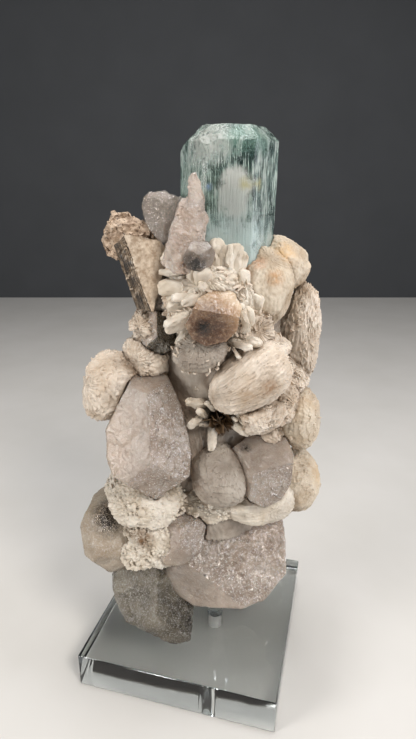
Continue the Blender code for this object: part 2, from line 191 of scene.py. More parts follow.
@dataclass(frozen=True)
class BerylForm:
    """The six-sided prism with a bevelled flat end."""

    foot: tuple = (9.8, 2.0, 163.0)  # the middle of its lower end
    lean: tuple = (1.2, 0.0)  # degrees to the right and to the back
    height: float = 48.6
    apothem: float = 14.7  # from its axis to a side
    rim_angle: float = 45.0  # degrees between its upper end and the bevels
    rim_drops: tuple = (4.6, 5.2, 5.4, 5.0, 4.8, 4.4)  # how far below the end each bevel meets its side
    # The azimuth of an upright edge, the cut's angle to the end, and how far down the edge it reaches
    corner_cuts: tuple = ((180, 45, 7.6), (180, 66, 9.4), (240, 45, 6.8), (120, 45, 7.0))
    edge_cut: float = 0.5  # how much of each upright edge is cut off

    @property
    def axis(self) -> Vector:
        """Its long axis."""
        right, back = (math.tan(math.radians(a)) for a in self.lean)
        return Vector((right, back, 1)).normalized()

    @property
    def centre(self) -> Vector:
        """Its middle."""
        return Vector(self.foot) + self.axis * self.height / 2

    def faces(self, gap: float = 0.0) -> list[tuple[Vector, float]]:
        """Lists its faces: ends, sides, upright edges, rim bevels and cut corners.

        Args:
            gap: How far each is pushed out.

        Returns:
            A normal and a distance from the centre for each face.
        """
        stand = standing_along(self.axis)
        corner = self.apothem / math.cos(math.radians(30))
        rim = math.radians(self.rim_angle)
        half = self.height / 2
        faces = [(self.axis, half + gap), (-self.axis, half + gap)]
        for i, drop in enumerate(self.rim_drops):
            side = stand @ direction(30 + 60 * i, 0)
            edge = stand @ direction(60 * i, 0)
            faces.append((side, self.apothem + gap))
            faces.append((edge, corner - self.edge_cut + gap))
            reach = self.apothem * math.sin(rim) + (half - drop) * math.cos(rim)
            faces.append((side * math.sin(rim) + self.axis * math.cos(rim), reach + gap))
        for azimuth, angle, drop in self.corner_cuts:
            edge = stand @ direction(azimuth, 0)
            cut = math.radians(angle)
            reach = corner * math.sin(cut) + (half - drop) * math.cos(cut)
            faces.append((edge * math.sin(cut) + self.axis * math.cos(cut), reach + gap))
        return faces


# ---------- Mesh work ----------

RAW_BLOCK = 240.0  # side of the cube that a crystal is cut from


def cut_body(bm: BMesh, centre: Vector, faces: list[tuple[Vector, float]]) -> None:
    """Cuts a convex body down to its faces and closes each cut.

    Args:
        bm: The body.
        centre: Where the distances are measured from.
        faces: A normal and a distance for each face.
    """
    for normal, distance in faces:
        cut = bmesh.ops.bisect_plane(
            bm,
            geom=bm.verts[:] + bm.edges[:] + bm.faces[:],
            dist=1e-5,
            plane_co=Vector(centre) + normal * distance,
            plane_no=normal,
            clear_outer=True,
        )
        rim = [e for e in cut["geom_cut"] if isinstance(e, BMEdge)]
        if rim:
            bmesh.ops.contextual_create(bm, geom=rim)


def crystal_body(centre: tuple, faces: list[tuple[Vector, float]]) -> BMesh:
    """Makes a convex crystal.

    Args:
        centre: Where the distances are measured from.
        faces: A normal and a distance for each face.

    Returns:
        The crystal.
    """
    bm = bmesh.new()
    bmesh.ops.create_cube(bm, size=RAW_BLOCK, matrix=Matrix.Translation(centre))
    cut_body(bm, centre, faces)
    bmesh.ops.recalc_face_normals(bm, faces=bm.faces)
    return bm


def round_edges(
    bm: BMesh,
    width: float,
    segments: int = 3,
    edges: list[BMEdge] | None = None,
    clamped: bool = True,
) -> None:
    """Bevels edges.

    Args:
        bm: The body.
        width: The bevel's width.
        segments: How many faces it has.
        edges: The edges, or None for all of them.
        clamped: Whether it stops short where it would run into the next one.
    """
    bmesh.ops.bevel(
        bm,
        geom=edges or bm.edges[:],
        offset=width,
        offset_type="OFFSET",
        affect="EDGES",
        segments=segments,
        profile=0.5,
        material=-1,
        clamp_overlap=clamped,
    )


def refine(bm: BMesh, spacing: float) -> None:
    """Slices a body along X, Y and Z, so that no face is longer than the spacing, then triangulates it.

    Args:
        bm: The body.
        spacing: The distance between two slices.
    """
    for axis in range(3):
        along = Vector([float(k == axis) for k in range(3)])
        heights = [v.co[axis] for v in bm.verts]
        low, high = min(heights), max(heights)
        count = int((high - low) / spacing)
        for i in range(count):
            bmesh.ops.bisect_plane(
                bm,
                geom=bm.verts[:] + bm.edges[:] + bm.faces[:],
                dist=1e-4,
                plane_co=along * (low + (high - low) * (i + 1) / (count + 1)),
                plane_no=along,
            )
    bmesh.ops.triangulate(bm, faces=bm.faces[:])


def coordinates(mesh: Mesh) -> np.ndarray:
    """Reads the vertices of a mesh.

    Args:
        mesh: The mesh.

    Returns:
        Their places, of shape (n, 3).
    """
    points = np.empty(len(mesh.vertices) * 3)
    mesh.vertices.foreach_get("co", points)
    return points.reshape(-1, 3)


def normals(mesh: Mesh) -> np.ndarray:
    """Reads the vertex normals of a mesh.

    Args:
        mesh: The mesh.

    Returns:
        The normals, of shape (n, 3).
    """
    pointing = np.empty(len(mesh.vertices) * 3)
    mesh.vertex_normals.foreach_get("vector", pointing)
    return pointing.reshape(-1, 3)


def set_coordinates(mesh: Mesh, points: np.ndarray) -> None:
    """Moves the vertices of a mesh."""
    mesh.vertices.foreach_set("co", points.ravel())
    mesh.update()


def add_attribute(mesh: Mesh, name: str, values: np.ndarray) -> None:
    """Stores one number for each vertex, which a material can read."""
    layer = mesh.attributes.new(name, "FLOAT", "POINT")
    layer.data.foreach_set("value", values.astype(np.float32))


def mesh_from(bm: BMesh, name: str) -> Mesh:
    """Ends a bmesh as a mesh.

    Args:
        bm: The bmesh, which is freed.
        name: The mesh's name.

    Returns:
        The mesh.
    """
    mesh = bpy.data.meshes.new(name)
    bm.to_mesh(mesh)
    bm.free()
    return mesh


def add_piece(
    name: str,
    mesh: Mesh,
    finishes: list[Material],
    replaces: tuple[str, ...] = (),
    place: Matrix = SPECIMEN_PLACE,
    sharp: float | None = 35.0,
) -> Object:
    """Puts a finished mesh in the scene as a piece that rides on the specimen.

    Args:
        name: The piece's name.
        mesh: Its mesh, in millimetres.
        finishes: Its materials, by material index.
        replaces: The solids that it stands for.
        place: What carries the mesh into the row's frame, in metres.
        sharp: Edges sharper than this many degrees stay sharp. None leaves its shading alone.

    Returns:
        The piece.
    """
    mesh.name = name
    mesh.transform(place)
    if sharp is not None:
        mesh.shade_smooth()
        mesh.set_sharp_from_angle(angle=math.radians(sharp))
    for finish in finishes:
        mesh.materials.append(finish)
    piece = bpy.data.objects.new(name, mesh)
    bpy.context.scene.collection.objects.link(piece)
    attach(piece, "root")
    if replaces:
        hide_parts(*replaces)
    log.info("%s: %d vertices, %d faces", name, len(mesh.vertices), len(mesh.polygons))
    return piece


# ---------- Finishes ----------


def linear(hex_colour: str) -> tuple[float, float, float, float]:
    """Turns an sRGB hex value into a linear colour with alpha."""
    channels = [int(hex_colour[i : i + 2], 16) / 255 for i in (0, 2, 4)]
    return (*(c / 12.92 if c <= 0.04045 else ((c + 0.055) / 1.055) ** 2.4 for c in channels), 1.0)


def add_node(
    tree: NodeTree,
    kind: str,
    values: dict | None = None,
    links: dict | None = None,
    stops: tuple = (),
    **settings: object,
) -> Node:
    """Adds a shader node.

    Args:
        tree: The material's node tree.
        kind: The node's type, without the leading "ShaderNode".
        values: Input name or index to its value.
        links: Input name or index to the socket that feeds it.
        stops: Position and colour of each stop, where the node has a colour ramp.
        **settings: The node's own properties.

    Returns:
        The node.
    """
    node = tree.nodes.new("ShaderNode" + kind)
    for key, value in settings.items():
        setattr(node, key, value)
    for key, value in (values or {}).items():
        node.inputs[key].default_value = value
    for key, socket in (links or {}).items():
        tree.links.new(socket, node.inputs[key])
    if stops:
        elements = node.color_ramp.elements
        while len(elements) < len(stops):
            elements.new(0.5)
        for element, (position, colour) in zip(elements, stops):
            element.position = position
            element.color = colour
    return node


def new_finish(name: str) -> tuple[Material, NodeTree, Node]:
    """Starts a material.

    Args:
        name: Its name.

    Returns:
        The material, its tree and its Principled node.
    """
    material = bpy.data.materials.new(name)
    material.use_nodes = True
    return material, material.node_tree, material.node_tree.nodes["Principled BSDF"]


def grey(value: float) -> tuple[float, float, float, float]:
    """A grey of that linear value."""
    return (value, value, value, 1.0)


@dataclass(frozen=True)
class Pattern:
    """A cloudy pattern with hills of a real size, on a piece's own coordinates."""

    size: float  # the distance between its hills, in millimetres
    detail: float = 3.0  # octaves
    rough: float = 0.55  # how strong the finer octaves are
    upright: float = 1.0  # how many times longer its hills are upright than across

    def add(self, tree: NodeTree) -> NodeSocket:
        """Adds the pattern to a material.

        Args:
            tree: The material's node tree.

        Returns:
            Its socket, from about 0 to 1.
        """
        place = add_node(tree, "TexCoord").outputs["Object"]
        if self.upright != 1:
            stretch = {"Scale": (1, 1, 1 / self.upright)}
            place = add_node(tree, "Mapping", stretch, {"Vector": place}).outputs["Vector"]
        values = {"Scale": 1 / (self.size * MM), "Detail": self.detail, "Roughness": self.rough}
        return add_node(tree, "TexNoise", values, {"Vector": place}).outputs["Fac"]


@dataclass(frozen=True)
class Relief:
    """An unevenness that is too fine to model."""

    size: float  # the distance between its hills, in millimetres
    depth: float
    strength: float = 1.0
    detail: float = 3.0
    rough: float = 0.6


@dataclass(frozen=True)
class Fleck:
    """Small spots of another colour, scattered over a mineral: dark specks, and white spots painted as
    highlights on etch pits.
    """

    colour: str
    size: float  # the distance between them, in millimetres
    level: float  # the pattern's height where they start: the higher it is, the fewer there are
    fade: float = 0.04  # how much higher they have their full colour
    strength: float = 0.9
    detail: float = 2.0
    rough: float = 0.5


@dataclass(frozen=True)
class ColourPatch:
    """A patch of colour in a mineral, where it is, in millimetres, and how it looks: mostly stains, a few
    painted shade and light.
    """

    place: tuple
    radius: float
    colour: str
    strength: float = 0.8
    grain: float = 2.0  # the size of the blotches that break it up

    def mask(self, tree: NodeTree, here: NodeSocket) -> NodeSocket:
        """Works out how strongly the stain covers each place.

        Args:
            tree: The material's node tree.
            here: The place, in metres.

        Returns:
            The mask's socket, from 0 to 1.
        """
        centre = SPECIMEN_PLACE @ Vector(self.place)
        away = add_node(tree, "VectorMath", {1: centre}, {0: here}, operation="DISTANCE").outputs["Value"]
        reach = {"From Min": self.radius * MM, "From Max": 0.2 * self.radius * MM, "To Max": 1.3}
        mask = add_node(tree, "MapRange", reach, {"Value": away}).outputs["Result"]
        blotches = Pattern(self.grain, 4, 0.65)
        broken = patchy(tree, blotches, (0.3, grey(0.1)), (0.6, grey(1)))
        mask = add_node(tree, "Math", links={0: mask, 1: broken}, operation="MULTIPLY").outputs[0]
        strength = {1: self.strength}
        return add_node(tree, "Math", strength, {0: mask}, operation="MULTIPLY", use_clamp=True).outputs[0]


def patchy(
    tree: NodeTree, pattern: Pattern, *stops: tuple[float, tuple]
) -> NodeSocket:
    """Spreads tones over a surface in soft patches.

    Args:
        tree: The material's node tree.
        pattern: Where the patches lie.
        *stops: The pattern's height for each tone, and the tone.

    Returns:
        The colour's socket.
    """
    return add_node(tree, "ValToRGB", links={"Fac": pattern.add(tree)}, stops=stops).outputs["Color"]


def flecked(
    tree: NodeTree, colour: NodeSocket, fleck: Fleck
) -> NodeSocket:
    """Scatters flecks over a colour.

    Args:
        tree: The material's node tree.
        colour: The clean colour.
        fleck: The flecks.

    Returns:
        The flecked colour's socket.
    """
    full = fleck.level + fleck.fade
    pattern = Pattern(fleck.size, fleck.detail, fleck.rough)
    mask = patchy(tree, pattern, (fleck.level, grey(0)), (full, grey(fleck.strength)))
    over = {7: linear(fleck.colour)}
    return add_node(tree, "Mix", over, {0: mask, 6: colour}, data_type="RGBA").outputs[2]


def stained(
    tree: NodeTree, colour: NodeSocket, stains: tuple[ColourPatch, ...]
) -> NodeSocket:
    """Lays patches over a colour: stains, and in places painted shade and painted light.

    Args:
        tree: The material's node tree.
        colour: The clean colour.
        stains: The stains.

    Returns:
        The stained colour's socket.
    """
    here = add_node(tree, "TexCoord").outputs["Object"]
    for stain in stains:
        links = {0: stain.mask(tree, here), 6: colour}
        colour = add_node(tree, "Mix", {7: linear(stain.colour)}, links, data_type="RGBA").outputs[2]
    return colour


def uneven(tree: NodeTree, shader: Node, *reliefs: Relief) -> None:
    """Lays reliefs one on another on a surface.

    Args:
        tree: The material's node tree.
        shader: Its Principled node.
        *reliefs: The reliefs, the lowest first.
    """
    links = {}
    for relief in reliefs:
        links["Height"] = Pattern(relief.size, relief.detail, relief.rough).add(tree)
        values = {"Strength": relief.strength, "Distance": relief.depth * MM}
        links["Normal"] = add_node(tree, "Bump", values, links).outputs["Normal"]
    tree.links.new(links["Normal"], shader.inputs["Normal"])


ALBITE_STAINS_AND_PAINTED_SHADE = (
    # Rust and ochre on the collar
    ColourPatch((20, -15, 171), 4.5, "B9743A", 0.8),
    ColourPatch((26, -16, 164.5), 4.0, "B98A58", 0.6),
    ColourPatch((17.5, -12, 165), 4.5, "8C6238", 0.9),
    ColourPatch((30, -6, 172), 6.0, "D3A970", 0.5),
    # Brown on the great fan
    ColourPatch((23, -27, 130.5), 4.5, "8A6238", 0.85),
    ColourPatch((17, -30, 128), 5.0, "A88C6E", 0.5),
    # Darker brown beside the disc, above the left ball and in the hollow
    ColourPatch((-1, -24, 90), 6.0, "6A5644", 0.6),
    ColourPatch((-23.5, -14, 131), 4.5, "7E6750", 0.7),
    ColourPatch((6, -14, 113), 9.0, "4A3A2A", 0.8, 3.0),
    # Darker brown among the sugary grains
    ColourPatch((-20.8, -28, 70.3), 5.5, "75583A", 0.9),
    ColourPatch((-26, -24, 72), 5.0, "6B573F", 0.7),
    # Ochre and brown on the right edge
    ColourPatch((37, -10, 112), 6.0, "C29A6B", 0.35),
    ColourPatch((44, -6, 84), 7.0, "C9A878", 0.5),
    ColourPatch((36, -12, 72), 6.0, "6F5A40", 0.7),
    # Painted shade in the seams under the neck and the stained quartz
    ColourPatch((22, -16, 140), 6.0, "6F6152", 0.6),
    ColourPatch((10, -14, 145), 6.0, "6B5544", 0.6),
)


@dataclass(frozen=True)
class AlbiteFinish:
    """Platy albite grown as blades: chalky white to cream, pearly faces, seams brown with grime and painted
    shade.
    """

    name: str
    light: str = "DCD0C2"
    warm: str = "C0AE9A"
    # The crease colour is partly grime and partly painted shade in the creases and seams
    crease: str = "7D6A57"
    crease_strength: float = 1.5
    speck: str = "4A3A2C"
    # Real stains, with some painted shade among them
    stains: tuple[ColourPatch, ...] = ALBITE_STAINS_AND_PAINTED_SHADE
    ior: float = 1.53
    glow: float = 0.1  # share of the light that spreads under the surface
    glow_reach: float = 1.0  # how far it spreads, in millimetres
    glow_tints: tuple = (1.0, 0.7, 0.5)  # the same for red, green and blue, as shares
    blotches: Pattern = Pattern(8, 5, 0.6)
    crease_blotches: Pattern = Pattern(3.5, 5, 0.65)
    pearl: Pattern = Pattern(1.4)  # blades that shine, and chalky ones
    sugar: Relief = Relief(0.55, 0.12, 0.8)
    blades: Relief = Relief(1.6, 0.4, 0.7, 4)

    def build(self) -> Material:
        """Builds the material.

        Returns:
            The material.
        """
        material, tree, shader = new_finish(self.name)
        colour = patchy(tree, self.blotches, (0.36, linear(self.light)), (0.66, linear(self.warm)))
        # Darkens the creases and seams towards the crease colour: partly grime, partly painted shade
        hollow = add_node(tree, "Attribute", attribute_name="hollow").outputs["Fac"]
        both = {0: hollow, 1: self.crease_blotches.add(tree)}
        grime_and_crease_shade = add_node(tree, "Math", links=both, operation="MULTIPLY").outputs[0]
        strength = {1: self.crease_strength}
        grime_and_crease_shade = add_node(tree, "Math", strength, {0: grime_and_crease_shade}, operation="MULTIPLY", use_clamp=True).outputs[0]
        over = {7: linear(self.crease)}
        colour = add_node(tree, "Mix", over, {0: grime_and_crease_shade, 6: colour}, data_type="RGBA").outputs[2]
        colour = stained(tree, colour, self.stains)
        colour = flecked(tree, colour, Fleck(self.speck, 0.9, 0.71, strength=0.7))
        tree.links.new(colour, shader.inputs["Base Color"])
        sheen = patchy(tree, self.pearl, (0.35, grey(0.4)), (0.65, grey(0.75)))
        tree.links.new(sheen, shader.inputs["Roughness"])
        shader.inputs["IOR"].default_value = self.ior
        shader.inputs["Subsurface Weight"].default_value = self.glow
        shader.inputs["Subsurface Radius"].default_value = self.glow_tints
        shader.inputs["Subsurface Scale"].default_value = self.glow_reach * MM
        uneven(tree, shader, self.sugar, self.blades)
        return material


@dataclass(frozen=True)
class QuartzFinish:
    """Cloudy quartz, a warm milky glass: smooth faces shine; etched ones are frosted and glitter, with
    painted highlights.
    """

    name: str
    clear: str = "EADBCC"
    cloud: str = "D2C0B0"
    transmission: float = 0.66
    frost: tuple[float, float] = (0.02, 0.14)  # roughness of its shiniest and its most etched patches
    absorbs: str = "E3D0BE"
    density: float = 8.0  # per metre
    glow: float = 0.4  # share of the light that spreads under the surface
    pit_depth: float = 0.25
    pit_size: float = 0.9  # drawn two or three times as coarse as the real etch pits, so that they show
    wave_depth: float = 1.0
    stains: tuple[ColourPatch, ...] = ()
    speck: str = "3B2E24"
    speck_level: float = 0.76  # the pattern's height where a speck starts
    veils: float = 0.3  # how white its healed cracks are
    planes: float = 0.12  # how much the planes inside it shade it
    plane_size: float = 9.0
    painted_glint_strength: float = 0.3  # how white the painted highlights on the brightest etch pits are
    ior: float = 1.544
    glow_reach: float = 2.0  # how far the glow spreads, in millimetres
    glow_tints: tuple = (1.0, 0.85, 0.7)  # the same for red, green and blue, as shares
    clouds: Pattern = Pattern(8, 2.5, 0.5)
    cracks: Pattern = Pattern(5, 4, 0.6, 1.5)
    etching: Pattern = Pattern(5, 6, 0.7)

    def cloudiness(self, tree: NodeTree) -> NodeSocket:
        """Clouds, lightened or darkened inside flat-sided cells like the planes in a clear crystal.

        Args:
            tree: The material's node tree.

        Returns:
            How cloudy each place is.
        """
        place = add_node(tree, "TexCoord").outputs["Object"]
        scale = {"Scale": 1 / (self.plane_size * MM)}
        cells = add_node(tree, "TexVoronoi", scale, {"Vector": place}).outputs["Color"]
        chance = add_node(tree, "SeparateColor", links={"Color": cells}).outputs["Red"]
        reach = {"From Min": 0.0, "From Max": 1.0, "To Min": -self.planes, "To Max": self.planes}
        shade = add_node(tree, "MapRange", reach, {"Value": chance}).outputs["Result"]
        clouds = self.clouds.add(tree)
        return add_node(tree, "Math", links={0: clouds, 1: shade}, operation="ADD").outputs[0]

    def colour(self, tree: NodeTree) -> NodeSocket:
        """Clear and cloudy patches, pale healed cracks, painted etch pit highlights, stains and dark specks.

        Args:
            tree: The material's node tree.

        Returns:
            The colour socket.
        """
        tones = ((0.35, linear(self.clear)), (0.65, linear(self.cloud)))
        cloudy = {"Fac": self.cloudiness(tree)}
        colour = add_node(tree, "ValToRGB", links=cloudy, stops=tones).outputs["Color"]
        wisps = patchy(tree, self.cracks, (0.48, grey(0)), (0.5, grey(self.veils)), (0.52, grey(0)))
        over = {7: linear("FDFAF6")}
        colour = add_node(tree, "Mix", over, {0: wisps, 6: colour}, data_type="RGBA").outputs[2]
        # Painted glint highlights: white flecks where etch pits catch the light
        colour = flecked(tree, colour, Fleck("FFFDFA", 0.55, 0.56, 0.07, self.painted_glint_strength, rough=0.6))
        colour = stained(tree, colour, self.stains)
        return flecked(tree, colour, Fleck(self.speck, 0.8, self.speck_level))

    def build(self) -> Material:
        """Builds the material.

        Returns:
            The material.
        """
        material, tree, shader = new_finish(self.name)
        tree.links.new(self.colour(tree), shader.inputs["Base Color"])
        shiny, etched = self.frost
        frost = patchy(tree, self.etching, (0.42, grey(shiny)), (0.6, grey(etched)))
        tree.links.new(frost, shader.inputs["Roughness"])
        shader.inputs["IOR"].default_value = self.ior
        shader.inputs["Transmission Weight"].default_value = self.transmission
        shader.inputs["Subsurface Weight"].default_value = self.glow
        shader.inputs["Subsurface Radius"].default_value = self.glow_tints
        shader.inputs["Subsurface Scale"].default_value = self.glow_reach * MM
        pits = Relief(self.pit_size, self.pit_depth, rough=0.65)
        uneven(tree, shader, pits, Relief(4.0, self.wave_depth, rough=0.5))
        absorbed = {"Color": linear(self.absorbs), "Density": self.density}
        inside = add_node(tree, "VolumeAbsorption", absorbed).outputs["Volume"]
        tree.links.new(inside, tree.nodes["Material Output"].inputs["Volume"])
        return material


BERYL_SCAR = ColourPatch((2.5, -10.4, 207.1), 10.0, "EDEFE8", 0.95, 1.2)
BERYL_STAINS_AND_PAINTED_LIGHT = (
    # Milk in the foot
    ColourPatch((13.2, -12.7, 172.0), 17.0, "EFFFFD", 1.6, 2.5),
    ColourPatch((7.0, -12.7, 171.0), 11.0, "EFFFFD", 1.6, 2.0),
    # Haze on the left face
    ColourPatch((-1.8, -6.2, 190.0), 17.0, "B4CCC2", 0.5, 4.0),
    # Painted light on the front face: a pale patch for the lit albite seen through it, two yellow spots
    # painted as reflections, and a blue spot
    ColourPatch((12.4, -12.7, 193.2), 6.5, "FFFFFA", 2.2, 3.5),
    ColourPatch((11.2, -12.7, 188.0), 5.5, "FAFFFA", 2.2, 2.5),
    ColourPatch((15.2, -12.7, 193.6), 3.0, "E9E0B0", 0.8, 2.0),
    ColourPatch((19.7, -11.4, 193.5), 2.6, "E2D9A4", 0.9, 2.0),
    ColourPatch((3.7, -12.7, 192.7), 1.5, "A9C4EE", 0.7, 1.5),
    # Greener bevels round the end
    ColourPatch((12.5, -11.0, 208.6), 8.0, "88B2A2", 0.9, 3.0),
    ColourPatch((20.0, -9.5, 206.6), 6.0, "94BCAC", 0.9, 3.0),
    BERYL_SCAR,
)


@dataclass(frozen=True)
class BerylFinish:
    """Gem beryl with natural faces: pale blue-green glass between fine, upright, satiny streaks."""

    name: str = "aquamarine_natural"
    satin: str = "F2FAF3"
    pale: str = "B3CCC3"
    deep: str = "2A423E"
    transmission: float = 0.62
    frost: tuple[float, float] = (0.01, 0.25)  # roughness between the streaks and on them
    scar_frost: str = "BEBEBE"  # the same on the etched corner, as a grey
    absorbs: str = "B4DDD4"
    density: float = 8.0  # per metre
    groove: float = 0.25
    ior: float = 1.577
    streaks: Pattern = Pattern(0.45, 3, 0.7, 18)
    clouds: Pattern = Pattern(5, 5, 0.65, 2.0)

    def build(self) -> Material:
        """Builds the material.

        Returns:
            The material.
        """
        material, tree, shader = new_finish(self.name)
        streaks = self.streaks.add(tree)
        both = {0: streaks, 1: self.clouds.add(tree)}
        both = add_node(tree, "Math", links=both, operation="ADD").outputs[0]
        half = {"Fac": add_node(tree, "Math", {1: 0.5}, {0: both}, operation="MULTIPLY").outputs[0]}
        tones = ((0.47, linear(self.deep)), (0.505, linear(self.pale)), (0.56, linear(self.satin)))
        colour = add_node(tree, "ValToRGB", links=half, stops=tones).outputs["Color"]
        tree.links.new(stained(tree, colour, BERYL_STAINS_AND_PAINTED_LIGHT), shader.inputs["Base Color"])
        between, on = self.frost
        satin = ((0.46, grey(between)), (0.6, grey(on)))
        rough = add_node(tree, "ValToRGB", links=half, stops=satin).outputs["Color"]
        rough = stained(tree, rough, (replace(BERYL_SCAR, colour=self.scar_frost),))
        tree.links.new(rough, shader.inputs["Roughness"])
        shader.inputs["IOR"].default_value = self.ior
        shader.inputs["Transmission Weight"].default_value = self.transmission
        grooves = {"Strength": 1.0, "Distance": self.groove * MM}
        grooved = add_node(tree, "Bump", grooves, {"Height": streaks}).outputs["Normal"]
        tree.links.new(grooved, shader.inputs["Normal"])
        absorbed = {"Color": linear(self.absorbs), "Density": self.density}
        inside = add_node(tree, "VolumeAbsorption", absorbed).outputs["Volume"]
        tree.links.new(inside, tree.nodes["Material Output"].inputs["Volume"])
        return material


@dataclass(frozen=True)
class VeilFinish:
    """A cloud of tiny fluid inclusions inside beryl: milky, and neither clear nor solid."""

    name: str = "aquamarine_veil"
    light: str = "F4FDFB"
    shade: str = "CDEBE8"
    roughness: float = 0.5
    ior: float = 1.33  # water, which the inclusions hold
    transmission: float = 0.3
    clouds: Pattern = Pattern(2.4, 5, 0.7)

    def build(self) -> Material:
        """Builds the material.

        Returns:
            The material.
        """
        material, tree, shader = new_finish(self.name)
        colour = patchy(tree, self.clouds, (0.4, linear(self.shade)), (0.6, linear(self.light)))
        tree.links.new(colour, shader.inputs["Base Color"])
        shader.inputs["Roughness"].default_value = self.roughness
        shader.inputs["IOR"].default_value = self.ior
        shader.inputs["Transmission Weight"].default_value = self.transmission
        uneven(tree, shader, Relief(0.8, 0.6, detail=4))
        return material


@dataclass(frozen=True)
class AcrylicFinish:
    """Cast acrylic with polished faces, lightly scratched: colourless and very clear."""

    name: str = "acrylic_polished"
    tint: str = "F7FAFA"
    absorbs: str = "E4F0EE"
    density: float = 3.0  # per metre
    ior: float = 1.491
    scuffs: Pattern = Pattern(8, 6, 0.75)
    scratches: Relief = Relief(2.5, 0.02, 0.3, 5, 0.7)

    def build(self) -> Material:
        """Builds the material.

        Returns:
            The material.
        """
        material, tree, shader = new_finish(self.name)
        shader.inputs["Base Color"].default_value = linear(self.tint)
        shader.inputs["IOR"].default_value = self.ior
        shader.inputs["Transmission Weight"].default_value = 1.0
        scuffed = patchy(tree, self.scuffs, (0.55, grey(0.01)), (0.72, grey(0.12)))
        tree.links.new(scuffed, shader.inputs["Roughness"])
        uneven(tree, shader, self.scratches)
        absorbed = {"Color": linear(self.absorbs), "Density": self.density}
        inside = add_node(tree, "VolumeAbsorption", absorbed).outputs["Volume"]
        tree.links.new(inside, tree.nodes["Material Output"].inputs["Volume"])
        return material


@dataclass(frozen=True)
class OpaqueFinish:
    """A rough mineral or a dull film in two tones, with specks and a bump."""

    name: str
    light: str
    dark: str
    speck: str = "2E241C"
    patch: float = 4.0  # the size of its blotches
    roughness: float = 0.6
    specks: float = 0.7  # the pattern's height where a speck starts
    bump: float = 0.2
    bump_size: float = 1.0

    def build(self) -> Material:
        """Builds the material.

        Returns:
            The material.
        """
        material, tree, shader = new_finish(self.name)
        blotches = Pattern(self.patch, 5, 0.6)
        colour = patchy(tree, blotches, (0.38, linear(self.light)), (0.62, linear(self.dark)))
        colour = flecked(tree, colour, Fleck(self.speck, 0.9, self.specks, 0.05, 0.85, 3, 0.6))
        tree.links.new(colour, shader.inputs["Base Color"])
        shader.inputs["Roughness"].default_value = self.roughness
        uneven(tree, shader, Relief(self.bump_size, self.bump, 0.8, 4))
        return material


# ---------- The specimen's crystals ----------

BERYL = BerylForm()

